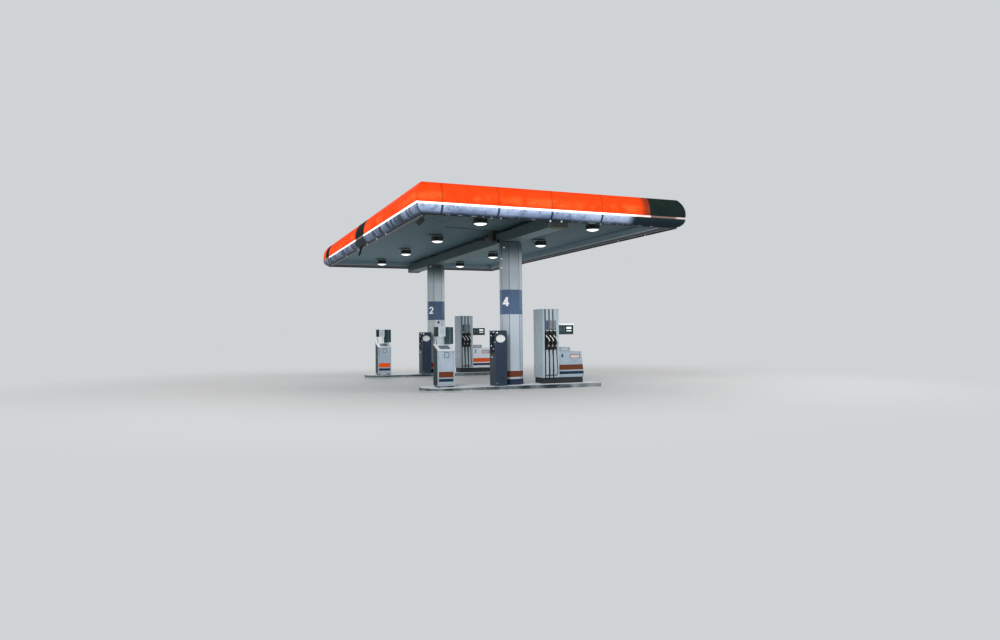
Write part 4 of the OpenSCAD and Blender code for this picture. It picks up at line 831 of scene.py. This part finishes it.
def tower_details():
    """Labels, ribs, latches and fixings on the hose towers."""
    blue, grey, white, ribs, locks, scr = meshes(6)
    for wall in faces(TOWER_D / 2):
        for lane in range(3):
            x = lane_x(lane) + SLOT_W / 2 + 0.044
            wall.plate(grey if lane else blue, x, 1.87, (0.066, 0.29, 0.008), 0.0018)
            wall.plate(white, x, 1.735, (0.066, 0.05, 0.006), 0.0018)
            wall.screws(scr, [x], (1.728, 2.012), 0.0035, 0.0012)
            wall.screws(scr, [x], (2.31, 0.34), 0.0035)
            x = PUMP_X + 0.447 + 0.012 * lane
            block(ribs, wall.spot(x, 0.31, -0.001), wall.spot(x + 0.005, 2.35, 0.003), 0.001)
    side = Wall(0, PUMP_X, -1)
    for y0 in ROWS:
        side.turn(locks, (y0 - 0.205, y0 + 0.29), (0.62, 1.74),
                  disc(0.016, 0.004, (0.012, 0.006), (0.008, 0.006), (0.007, 0.003), (0, 0.003)))
        side.screws(scr, (y0 - 0.16, y0 + 0.16), (0.4, 0.9, 1.4, 1.9, 2.28), 0.004)
    piece("tower_labels_blue", blue, "plate_blue")
    piece("tower_labels_grey", grey, "plate_grey")
    piece("tower_labels_white", white, "white_bit")
    piece("tower_ribs", ribs, "tower")
    piece("tower_locks", locks, "dark_line", True)
    fixings("tower_screws", scr)


# Middle line of a nozzle's cover: to the right of the nozzle, out from the tower's face, height
COVER = [(-0.044, 0.008, 1.565), (-0.024, 0.034, 1.520), (0, 0.071, 1.490), (0.024, 0.090, 1.430),
         (0.034, 0.096, 1.395)]
NOZZLE_OUT = 0.084  # the nozzle's grip stands out from the face by this


def nozzle_details():
    """Pale covers on the nozzles' backs, swivels, metal spout ends and boots' lips."""
    cover, swivel, spout, lip, collar = meshes(5)
    for wall in faces(TOWER_D / 2):
        for lane in range(3):
            x = lane_x(lane) + 0.065
            # Seen from the face, the cover runs down from the left to the right
            line = [wall.spot(x, z, b) + wall.right * a for a, b, z in COVER]
            for lo, hi in zip(line, line[1:]):
                along = (hi - lo).normalized()
                Face(lo, along, wall.out.cross(along)).slab(
                    cover, rect(-0.003, -0.0135, (hi - lo).length + 0.003, 0.0135), 0.005, 0.001)
            lathe(swivel, wall.spot(x, 1.238, NOZZLE_OUT), UP,
                  [(0.0215, 0), (0.0235, 0.002), (0.0235, 0.012), (0.0205, 0.0145)], 20)
            wall.turn(swivel, [x], [1.272], disc(0.012, 0.003, (0.009, 0.005), (0, 0.005)), lift=NOZZLE_OUT + 0.017)
            lathe(collar, wall.spot(x, 1.206, NOZZLE_OUT), UP,
                  [(0.0145, 0), (0.0165, 0.003), (0.0195, 0.008), (0.0195, 0.012)])
            wall.rim(lip, x, 1.515, (0.076, 0.286, 0.010), (0.060, 0.270, 0.006), 0.004)
            lathe(spout, wall.spot(x, 1.478, -0.016), wall.out - UP * 0.12, disc(0.0135, 0.022, (0.012, 0.030)))
    piece("nozzle_covers", cover, "white_bit")
    piece("nozzle_swivels", swivel, "white_bit", True)
    piece("nozzle_spouts", spout, "outlet", True)
    piece("boot_lips", lip, "black")
    piece("hose_collars", collar, "hose", True)


# The cabinet: its ends, the lean of the outer one, half its depth, and its lower and upper edge
CAB_X0, CAB_X1, CAB_LEAN, CAB_H, CAB_Z0, CAB_Z1 = 1.43, 2.27, 0.09, 0.32, 0.30, 1.07


def cabinet_outline(g, z):
    """The cabinet's three free sides grown by g."""
    x, y = CAB_X1 - CAB_LEAN * (z - CAB_Z0) / (CAB_Z1 - CAB_Z0) + g, CAB_H + g
    return [(CAB_X0, -y), (x, -y), (x, y), (CAB_X0, y)]


def cabinet_details():
    """Stripes, numbers, plain red frames, plates, cooling slats and fixings on the cabinets."""
    orange, blue, ink, red, plate, scr, vent = meshes(7)
    for y0 in ROWS:
        stripe(orange, cabinet_outline, y0, 0.52, 0.675, n=3)
        stripe(blue, cabinet_outline, y0, 0.39, 0.475, n=3)
    for wall, number in zip(faces(CAB_H), "4321"):
        digit(ink, number, wall.spot(1.525, 0.95), wall.right, 0.115)
        wall.rim(red, 1.962, 0.922, (0.336, 0.122, 0.012), (0.296, 0.088, 0.008), 0.0022)
        wall.plate(plate, 1.962, 0.922, (0.31, 0.095, 0.008), 0.0015)
        wall.plate(plate, 1.55, 1.142, (0.06, 0.044, 0.004), 0.0018)
        wall.plate(plate, 1.66, 1.142, (0.085, 0.044, 0.004), 0.0018)
        for us, z, r in (((1.455, 1.775), 1.175, 0.004), ((1.46, 2.2), 0.35, 0.005), ((1.46, 2.15), 1.035, 0.005)):
            wall.screws(scr, us, [z], r)
        for k in range(6):
            wall.slab(vent, rect(-0.09, 0, 0.09, 0.009), 0.0035, 0.0008, -SINK, 1.93, 0.725 + 0.017 * k)
    piece("cabinet_stripe_orange", orange, "orange_bit")
    piece("cabinet_stripe_blue", blue, "blue_bit")
    piece("cabinet_digits", ink, "dark_line")
    piece("cabinet_red_frames", red, "red_bit")
    piece("cabinet_plates", plate, "plate_pale")
    fixings("cabinet_screws", scr)
    piece("cabinet_slats", vent, "cabinet")


TERM_X, TERM_Y, TERM_TOP = (-0.72, -0.36), (-0.50, -0.05), 1.72


def terminal_details():
    """Badges, lamps, keys, screens, hinges, locks and fixings of the payment terminals."""
    badge, ring, lamp, rim, glass, dark, slate, scr = meshes(8)
    x0, x1 = TERM_X
    user, inner = Wall(0, x0, -1), Wall(0, 0, -1)
    for y0 in ROWS:
        mid = y0 + sum(TERM_Y) / 2
        for s, y in zip((-1, 1), TERM_Y):
            wall = Wall(1, y0 + y, s)
            if s < 0:
                at = (-0.557, 1.484)
                wall.slab(badge, oval(0.292, 0.222), 0.004, 0.001, -SINK, *at)
                wall.ring(ring, oval(0.300, 0.230), oval(0.284, 0.214), 0.006, -SINK, *at)
                wall.ring(ring, oval(0.205, 0.150), oval(0.199, 0.144), 0.0012, 0.0035, *at)
                wall.turn(lamp, [-0.663], [1.658], disc(0.018, 0.006, (0.012, 0.012), (0, 0.014)), 20)
            # Door leaf under the joint, its hinges, lock and slats
            wall.plate(slate, -0.54, 0.636, (0.336, 0.968, 0.006), 0.0022, 0.0008)
            for z in (0.26, 0.62, 1.0):
                lathe(dark, wall.spot(-0.376, z - 0.035, 0.004), UP, disc(0.006, 0.07), 12)
            wall.turn(dark, [-0.69], [0.83], lock(0.012), 18, 0.0015)
            wall.turn(ring, [-0.672], [0.196], disc(0.022, 0.003, (0.018, 0.005), (0, 0.005)), 22, 0.0015)
            wall.screws(scr, (x0 + 0.018, x1 - 0.018), (0.145, 1.105, 1.155, 1.70), 0.0045)
            for k in range(5):
                wall.plate(dark, -0.50, 0.30 + 0.018 * k, (0.12, 0.007, 0.003, 2), 0.0012, lift=0.0015)
        # Keys on the shelf: four rows of four, the last column wider apart and coloured
        shelf = Face((-0.715, mid, 1.0592), user.right, (0.09, 0, 0.075))
        for i, last in enumerate((badge, ring, slate, dark)):
            for j, u in enumerate((0, 0.019, 0.038, 0.061)):
                shelf.plate(last if j == 3 else dark, u, 0.022 + 0.0185 * i, (0.0145, 0.0135, 0.003, 3), 0.004, 0.001)
        shelf.rim(rim, 0.03, 0.05, (0.098, 0.096, 0.008), (0.088, 0.086, 0.005), 0.0035)
        # Hood over the screen, its glass, and the lit rim of the card slot
        inner.plate(glass, mid, 1.531, (0.262, 0.196, 0.006), 0.0012, lift=0.6373)
        inner.rim(rim, mid, 1.531, (0.306, 0.24, 0.012), (0.266, 0.2, 0.007), 0.006, 0.6438)
        inner.rim(lamp, y0 - 0.201, 1.185, (0.094, 0.018, 0.006), (0.082, 0.008, 0.003), 0.0022, 0.6578)
        inner.plate(dark, y0 - 0.3675, 1.19, (0.088, 0.05, 0.006), 0.012, 0.004, 0.6438)
        inner.rim(rim, y0 - 0.3675, 1.184, (0.104, 0.084, 0.008), (0.09, 0.054, 0.006), 0.004, 0.6437)
        # Small lamps round the user's side
        for y, z, r in ((-0.387, 1.674, 0.015), (-0.253, 0.950, 0.013), (-0.478, 1.385, 0.012)):
            user.turn(lamp, [y0 + y], [z], small_lamp(r, 0.007))
        Wall(1, y0 - 0.0897, -1).turn(lamp, [-0.684], (1.576, 1.275), small_lamp(0.014, 0.006))
        user.plate(slate, mid, 0.60, (0.30, 0.62, 0.01), 0.0026, 0.001)
        user.rim(slate, mid, 0.60, (0.34, 0.66, 0.014), (0.304, 0.624, 0.01), 0.004)
        user.screws(scr, (y0 - 0.43, y0 - 0.12), (0.29, 0.91), 0.005, 0.0035)
        # Rain hood along the top's edges
        Face((sum(TERM_X) / 2, mid, TERM_TOP - 0.0125), (1, 0, 0), (0, 1, 0)).ring(
            slate, rect(-0.186, -0.231, 0.186, 0.231), rect(-0.172, -0.217, 0.172, 0.217), 0.014)
    piece("terminal_badges", badge, "white_bit")
    piece("terminal_rings", ring, "plate_grey")
    piece("terminal_lamps", lamp, "bead", True)
    piece("terminal_frames", rim, "panel")
    piece("terminal_screens", glass, "screen")
    piece("terminal_keys", dark, "dark_line")
    piece("terminal_leaves", slate, "terminal_leaf")
    fixings("terminal_screws", scr)


BIN_X, BIN_Y = (-2.39, -1.88), (-0.26, 0.15)
MOUTH = (0.312, 0.132, 0.027, 6)  # width, length, corner and steps of the mouth in the sloping top
MOUTH_DOWN = 0.0969  # the mouth's middle lies this far down the slope from the top's middle


def bin_details():
    """Caps, mouths, door frames, stripes, side sheets and feet of the bins, and the boxes over them."""
    cap, mouth, line, orange, blue, side, foot, scr, wash, mark, leaf = meshes(11)
    x0, x1 = BIN_X
    mid = sum(BIN_X) / 2
    slope = Vector((0, 0.41, 0.17)).normalized()
    for y0 in ROWS:
        # Cap with rounded corners round the mouth, and its turned-down rim
        top = Face(Vector((mid, y0 + BIN_Y[0], 1.18)) + slope * 0.2219, (1, 0, 0), slope)
        top.ring(cap, round_rect(0.524, 0.458, 0.045, 6), [(x, y - MOUTH_DOWN) for x, y in round_rect(*MOUTH)],
                 0.017, -0.012)
        top.rim(cap, 0, 0, (0.526, 0.460, 0.046, 6), (0.512, 0.446, 0.036, 6), 0.032, -0.030)
        top.rim(mouth, 0, -MOUTH_DOWN, MOUTH, (0.296, 0.116, 0.020, 6), 0.0565, -0.052)
        # Slate panel above the mouth, and a swing flap in it, almost level with the cap
        top.plate(mouth, 0, 0.032, (0.306, 0.118, 0.02, 5), 0.003, 0.001, 0.0047)
        flap = Face(top.spot(0, -MOUTH_DOWN, -0.006), top.right, slope * 0.995 - top.out * 0.05)
        flap.plate(mouth, 0, 0, (0.292, 0.112, 0.018, 5), 0.004, 0.001, 0.0)
        for s, y in zip((-1, 1), BIN_Y):
            wall = Wall(1, y0 + y, s)
            wall.rim(line, mid, 0.670, (0.434, 0.944, 0.016), (0.426, 0.936, 0.012), 0.0016)
            wall.plate(orange, mid, 0.4825, (0.424, 0.163, 0.002, 2), 0.0012)
            wall.plate(blue, mid, 0.3225, (0.424, 0.085, 0.002, 2), 0.0012)
            wall.rim(mark, mid - 0.015 * s, 1.034, (0.150, 0.162, 0.022), (0.120, 0.132, 0.012), 0.0016)
            wall.turn(scr, [x1 - 0.052], [1.10], lock(0.011), 16, 0.0005)
            for z in (0.29, 0.95):
                lathe(scr, wall.spot(x0 + 0.030, z, 0.004), UP, disc(0.0055, 0.06), 12)
            # Bolted foot plates
            for x in (x0 + 0.06, x1 - 0.06):
                y = wall.place - s * 0.04
                block(foot, (x - 0.038, y - 0.012, 0.1195), (x + 0.038, y + 0.03, 0.128), 0.002)
                bolt(scr, (x - 0.001, y + (0.02 if s < 0 else 0.0), 0.1275), UP, 0.006)
        # Dark sheets on both sides, up to the cap's rim; their dark colour is painted shade
        for s, x in zip((-1, 1), BIN_X):
            wall = Wall(0, x, s)
            right, left = (0.565, 0.410)[::s]
            wall.slab(side, [(-0.197, -0.585), (0.197, -0.585), (0.197, right), (-0.197, left)], 0.003, 0.001, -SINK,
                      y0 - 0.055, 0.757)
            wall.screws(scr, (y0 - 0.235, y0 + 0.125), (0.21, 0.62, 1.02), 0.005, 0.0025)
        # Towel box: side plates painted dark as painted shade, bevelled front, window, lock and the lip of its slot
        for s, x in ((-1, -2.37), (1, -2.08)):
            Wall(0, x, s).plate(side, y0 + 0.045, 1.7025, (0.158, 0.262, 0.008), 0.003, 0.001)
        for s, y in ((-1, -0.04), (1, 0.13)):
            wall = Wall(1, y0 + y, s)
            wall.rim(cap, -2.1815, 1.7025, (0.202, 0.273, 0.014), (0.180, 0.251, 0.010), 0.004)
            wall.plate(mouth, -2.18, 1.69, (0.012, 0.080, 0.005), 0.0014)
            wall.turn(scr, [-2.18], [1.805], disc(0.009, 0.003, (0.006, 0.004), (0, 0.002)), 16)
        Face((-2.225, y0 + 0.045, 1.5655), (-1, 0, 0), (0, 1, 0)).rim(
            cap, 0, 0, (0.19, 0.072, 0.010), (0.174, 0.056, 0.006), 0.006, 0.0)
        # Wash panel: outer leaf, pale edge bead, clips to the bin and to the box
        Wall(1, y0 + 0.122, -1).plate(leaf, -1.844, 1.589, (0.100, 0.49, 0.008), 0.022, 0.002, 0.0)
        for s, y in ((-1, 0.09), (1, 0.13)):
            wall = Wall(1, y0 + y, s)
            wall.rim(wash, -1.984, 1.589, (0.180, 0.50, 0.010), (0.164, 0.484, 0.007), 0.003)
            wall.turn(scr, (-2.052, -1.916), (1.40, 1.79), disc(0.010, 0.003, (0.006, 0.006), (0, 0.006)), 14)
    piece("bin_caps", cap, "cap")
    piece("bin_mouths", mouth, "slate")
    piece("bin_lines", line, "plate_grey")
    piece("bin_label_frames", mark, "bin_frame")
    piece("bin_stripe_orange", orange, "orange_bit")
    piece("bin_stripe_blue", blue, "blue_bit")
    piece("bin_sides", side, "side_shade")
    piece("bin_foot_plates", foot, "black")
    fixings("bin_fixings", scr)
    piece("wash_leaves", leaf, "wash")
    piece("wash_beads", wash, "wash_edge")


def lamp_details():
    """Catches round the rims, bolts on the straps and glands on the housings."""
    catch, nut = meshes(2)
    for x, y in LAMPS:
        for k in range(6):
            a = math.radians(30 + 60 * k)
            d = Vector((math.cos(a), math.sin(a), 0))
            at = Vector((x, y, 4.578)) + d * 0.2115
            Face(at, UP.cross(d)).slab(catch, rect(-0.011, -0.020, 0.011, 0.022), 0.005, 0.0012)
            lathe(nut, at + d * 0.0045 + UP * 0.006, d, screw_head(0.004), 10)
        for s in (-1, 1):
            for dy, z in ((-0.014, 4.672), (0.014, 4.672), (0, 4.735)):
                bolt(nut, (x + s * 0.156, y + dy, z), (s, 0, 0), 0.006)
        lathe(nut, (x + 0.05, y - 0.13, 4.655), (0, -1, 0),
              disc(0.013, 0.008, (0.010, 0.010), (0.010, 0.020), (0.007, 0.022), (0, 0.022)), 14)
    piece("lamp_catches", catch, "lamp_bar")
    fixings("lamp_fixings", nut)


# Clips on the lip rail, by side, some with a painted highlight; the rail's inner face, thickness and height
CLIPS = {"left": (-3.32, -2.16, -0.81, 0.655, 2.79), "front": (-1.87, -1.62, -0.24, 0.08, 1.24), "right": (-5.4, -3.9)}
RAIL_X, RAIL_Y, RAIL_T, RAIL_Z0, RAIL_Z1 = 3.656, 6.906, 0.018, 4.495, 4.531
# Sheet torn from the left side's joint: place along Y, height
TEAR = [(-0.10, 4.536), (0.36, 4.536), (0.37, 4.469), (0.45, 4.42), (0.60, 4.34), (0.66, 4.305), (0.53, 4.283),
        (0.394, 4.272), (0.25, 4.35), (0.094, 4.438)]


def rail_wall(side):
    """The rail's inner face on that side, looking out of the roof."""
    sign = -1 if side in ("front", "left") else 1
    return Wall(1, sign * RAIL_Y, sign) if side in ("front", "rear") else Wall(0, sign * RAIL_X, sign)


def rail_details():
    """Clips, joint plates and bent flaps of sheet along the lip rail."""
    clip, plate, flap, scr, tear = meshes(5)
    g, t = 0.0004, RAIL_T
    hook = [(-0.004, -0.007), (t + 0.004, -0.007), (t + 0.004, 0.028), (t + g, 0.028), (t + g, -g), (-g, -g),
            (-g, 0.022), (-0.004, 0.022)]
    for side, places in CLIPS.items():
        wall = rail_wall(side)
        deep = 2.6 if side == "left" else 1.0
        button = disc(0.019, 0.006 * deep, (0.013, 0.011 * deep), (0, 0.013 * deep))
        for a in places:
            at = wall.spot(a, RAIL_Z0, 0.0)
            Face(at + wall.right * 0.022, wall.out).slab(clip, hook, 0.044)
            way, lift = (-wall.out, 0.0035) if side == "right" else (wall.out, t + 0.0035)
            lathe(clip, at + way * lift + UP * 0.028, way, button, 20)
    for side in SIDES:
        wall = rail_wall(side)
        joints = FRONT_JOINTS if side in ("front", "rear") else SIDE_JOINTS
        for j, after in zip(joints, joints[1:] + [None]):
            wall.plate(plate, j, RAIL_Z0 + 0.016, (0.14, 0.026, 0.004, 2), 0.0035, 0.001, t - SINK)
            wall.screws(scr, (j - 0.05, j + 0.05), [RAIL_Z0 + 0.016], 0.0055, t + 0.003)
            if after is None:
                continue
            # Flaps of torn sheet on the lower edge
            a = j + 0.12
            while a < after - 0.12:
                w = rng.uniform(0.05, 0.24)
                h = rng.uniform(0.006, 0.026)
                mid = a + w / 2
                if abs(mid + 0.06 - j) > 0.12 and all(abs(c - mid) > w / 2 + 0.04 for c in CLIPS.get(side, ())):
                    k = rng.uniform(-0.3, 0.3) * w
                    rag = [(-w / 2, 0), (-w / 2 + 0.01, -h * 0.6), (k, -h), (w / 2 - 0.012, -h * 0.7), (w / 2, 0)]
                    wall.slab(flap, rag, 0.002, 0.0, t + 0.001, mid, RAIL_Z1 + 0.002)
                a += w + rng.uniform(0.03, 0.35)
    rail_wall("left").slab(tear, [(-y, z) for y, z in TEAR], 0.003, lift=t + 0.001)
    piece("rail_tear", tear, "torn")
    piece("rail_clips", clip, "clip_highlight")
    piece("rail_plates", plate, "rail")
    piece("rail_flaps", flap, "band_bit")
    fixings("rail_screws", scr)


def beam_details():
    """Cover straps on the casing's joints, beige strips under its ends, and the ceiling's fixings."""
    strap, strip, scr = meshes(3)

    def from_below(x, y, z, r):
        lathe(scr, (x, y, z), -UP, screw_head(r), 10)
    for s in (-1, 1):
        for y in (s * 2.85, s * 4.75, s * 6.50):
            block(strap, (-0.2525, y - 0.02, 4.3575), (0.2525, y + 0.02, 4.3597), 0.0006)
            for k in (-1, 1):
                x = k * 0.2513
                block(strap, (x - 0.0013, y - 0.02, 4.3575), (x + 0.0013, y + 0.02, 4.646), 0.0006)
                Wall(0, k * 0.2524, k).screws(scr, [y], (4.39, 4.45, 4.53, 4.61), 0.005)
            for x in (-0.18, -0.06, 0.06, 0.18):
                from_below(x, y, 4.3577, 0.005)
        block(strip, (-0.240, s * 6.972, 4.332), (0.240, s * 6.86, 4.3598), 0.003, 2)
        for x in (-0.2, 0.0, 0.2):
            from_below(x, s * 6.915, 4.3323, 0.006)
        Wall(1, s * 6.97, s).screws(scr, (-0.2, 0.0, 0.2), [4.43], 0.006)
    # Screws on the ceiling's low flats, where it crosses the arms
    for x in (0.42, 1.15, 2.35, 3.28):
        for k in range(-32, 33, 2):
            for m in (-1, 1):
                from_below(m * x, 0.1 + 0.2 * k, CEILING_Z, 0.0055)
    piece("casing_straps", strap, "beam")
    piece("beam_strips", strip, "beige")
    fixings("roof_screws", scr)


def camera_details():
    """Lenses, rims, glands and lid screws of the cameras and their box."""
    rim, glass, scr, nut = meshes(4)
    c8, s8 = math.cos(math.radians(8)), math.sin(math.radians(8))
    # Rim, window and inner lens of each camera: the middle of its front, its axis, its scale
    for at, axis, k in (((-0.38 - 0.48 * c8 + 0.053 * s8, -3.09, 4.58 - 0.48 * s8 - 0.053 * c8), (-c8, 0, -s8), 1.0),
                        ((-0.3079, -3.50, 4.44), (0, -1, 0), 0.7)):
        at, axis = Vector(at), Vector(axis)
        lathe(glass, at - axis * 0.018 * k, axis, disc(0.0305 * k, 0.002, (0.024 * k, 0.006), (0, 0.008)), 28)
        lathe(rim, at - axis * 0.010 * k, axis, disc(0.0318 * k, 0.003, (0.0275 * k, 0.003), (0.0275 * k, 0)), 28)
        u = axis.orthogonal().normalized()
        for c, s in circle(6):
            lathe(scr, at + (u * c + axis.cross(u) * s) * 0.037 * k, axis, disc(0.0025, 0.001, (0, 0.0012)), 8)
    # The box: lid rim, four screws, glands underneath, the arm's bolts
    Wall(0, -0.3797, -1).rim(rim, -3.09, 4.615, (0.232, 0.302, 0.012), (0.214, 0.284, 0.008), 0.003, 0.0)
    Wall(0, -0.3798, -1).screws(scr, (-3.185, -2.995), (4.485, 4.745), 0.0055)
    for y in (-3.15, -3.03):
        lathe(nut, (-0.315, y, 4.4602), -UP,
              disc(0.013, 0.008, (0.010, 0.009), (0.010, 0.018), (0.006, 0.020), (0, 0.020)), 8)
    for y in (-3.11, -3.07):
        for z in (4.562, 4.598):
            bolt(scr, (-0.388, y, z), (-1, 0, 0), 0.0045)
    # Rims of the two domes
    for at, axis, r in (((1.3, 3.1, 4.77), (0, 0, -1), 0.06), ((0, 3.495, 4.28), (0, -1, 0), 0.042)):
        lathe(rim, at, axis, disc(r + 0.004, 0.004, (r + 0.0005, 0.008)), 28)
    piece("camera_rims", rim, "plate_grey", True)
    piece("camera_glass", glass, "glass", True)
    fixings("camera_fixings", scr)
    piece("camera_glands", nut, "black")


HEAD_H, FIELD_H = 0.2, 0.188  # half the depth of the display head, and of the sunk field with its readouts


def display_details():
    """Bezels round the readouts, keys and fixings of the display heads."""
    bezel, key, scr = meshes(3)
    for field in faces(FIELD_H):
        for z, h in ((1.789, 0.078), (1.701, 0.046)):
            field.rim(bezel, 1.832, z, (0.222, h + 0.020, 0.006), (0.2, h, 0.003), 0.0098)
            field.rim(bezel, 1.832, z, (0.204, h + 0.004, 0.005), (0.172, h - 0.014, 0.006), 0.0033, 0.0062)
        # Price keys beside the readouts
        for x in (1.53, 1.58):
            for z in (1.70, 1.74, 1.78):
                field.plate(key, x, z, (0.034, 0.022, 0.004, 2), 0.004, 0.001)
        field.plate(key, 1.682, 1.745, (0.026, 0.13, 0.004, 2), 0.003, 0.001)
        field.screws(scr, (1.441, 1.969), (1.602, 1.862), 0.0035, HEAD_H - FIELD_H)
    piece("display_bezels", bezel, "dark_line")
    piece("display_keys", key, "slate")
    fixings("display_screws", scr)


for details in (column_details, tower_details, nozzle_details, cabinet_details, terminal_details, bin_details,
                lamp_details, rail_details, beam_details, camera_details, display_details):
    details()


def make_stage():
    """A pale floor that turns into the backdrop's colour away from the object."""
    bm = bmesh.new()
    rings = [[bm.verts.new((r * c, r * s, 0)) for c, s in circle(64)] for r in (12.0, 40.0, 160.0)]
    bm.faces.new(rings[0])
    for inner, outer in zip(rings, rings[1:]):
        skin(bm, outer, inner)
    me = bpy.data.meshes.new("floor")
    bm.to_mesh(me)
    bm.free()
    floor = bpy.data.objects.new("floor", me)
    scene.collection.objects.link(floor)
    s = Shader("floor")
    s.finish({"Base Color": s.mix(s.noise(0.25, 3.0), (206, 207, 208), (211, 212, 212)), "Roughness": 0.9,
              "Specular IOR Level": 0.2})
    far = s.ramp(s.math("SQRT", s.x * s.x + s.y * s.y, 0.0), 8.0, 17.0)
    mixed = s.blend(Value(s, s.bsdf.outputs[0]), s.node("Emission", {"Color": BACKDROP}), far)
    s.put(mixed, s.tree.nodes["Material Output"].inputs["Surface"])
    me.materials.append(s.mat)


def make_world():
    """Even light of a plain level; the backdrop's colour is only what is seen."""
    scene.world = bpy.data.worlds.new("studio")
    g = Graph(scene.world)
    g.tree.nodes.clear()
    mixed = g.blend(g.node("Background", {"Color": (255, 255, 255), "Strength": 0.58}),
                    g.node("Background", {"Color": BACKDROP, "Strength": 1.0}))
    g.put(mixed, g.tree.nodes.new("ShaderNodeOutputWorld").inputs["Surface"])


def make_lights():
    for name, place, height, power in (("key", (-16, -24, 17), 2.5, 4000), ("fill", (18, -14, 9), 2.5, 1500),
                                       ("back", (4, 24, 15), 3, 1700)):
        d = bpy.data.lights.new(name, "AREA")
        d.shape = "DISK"
        d.size = 12
        d.energy = power
        ob = bpy.data.objects.new(name, d)
        scene.collection.objects.link(ob)
        ob.location = place
        ob.rotation_euler = (Vector((0, 0, height)) - Vector(place)).to_track_quat("-Z", "Y").to_euler()


make_stage()
make_world()
make_lights()
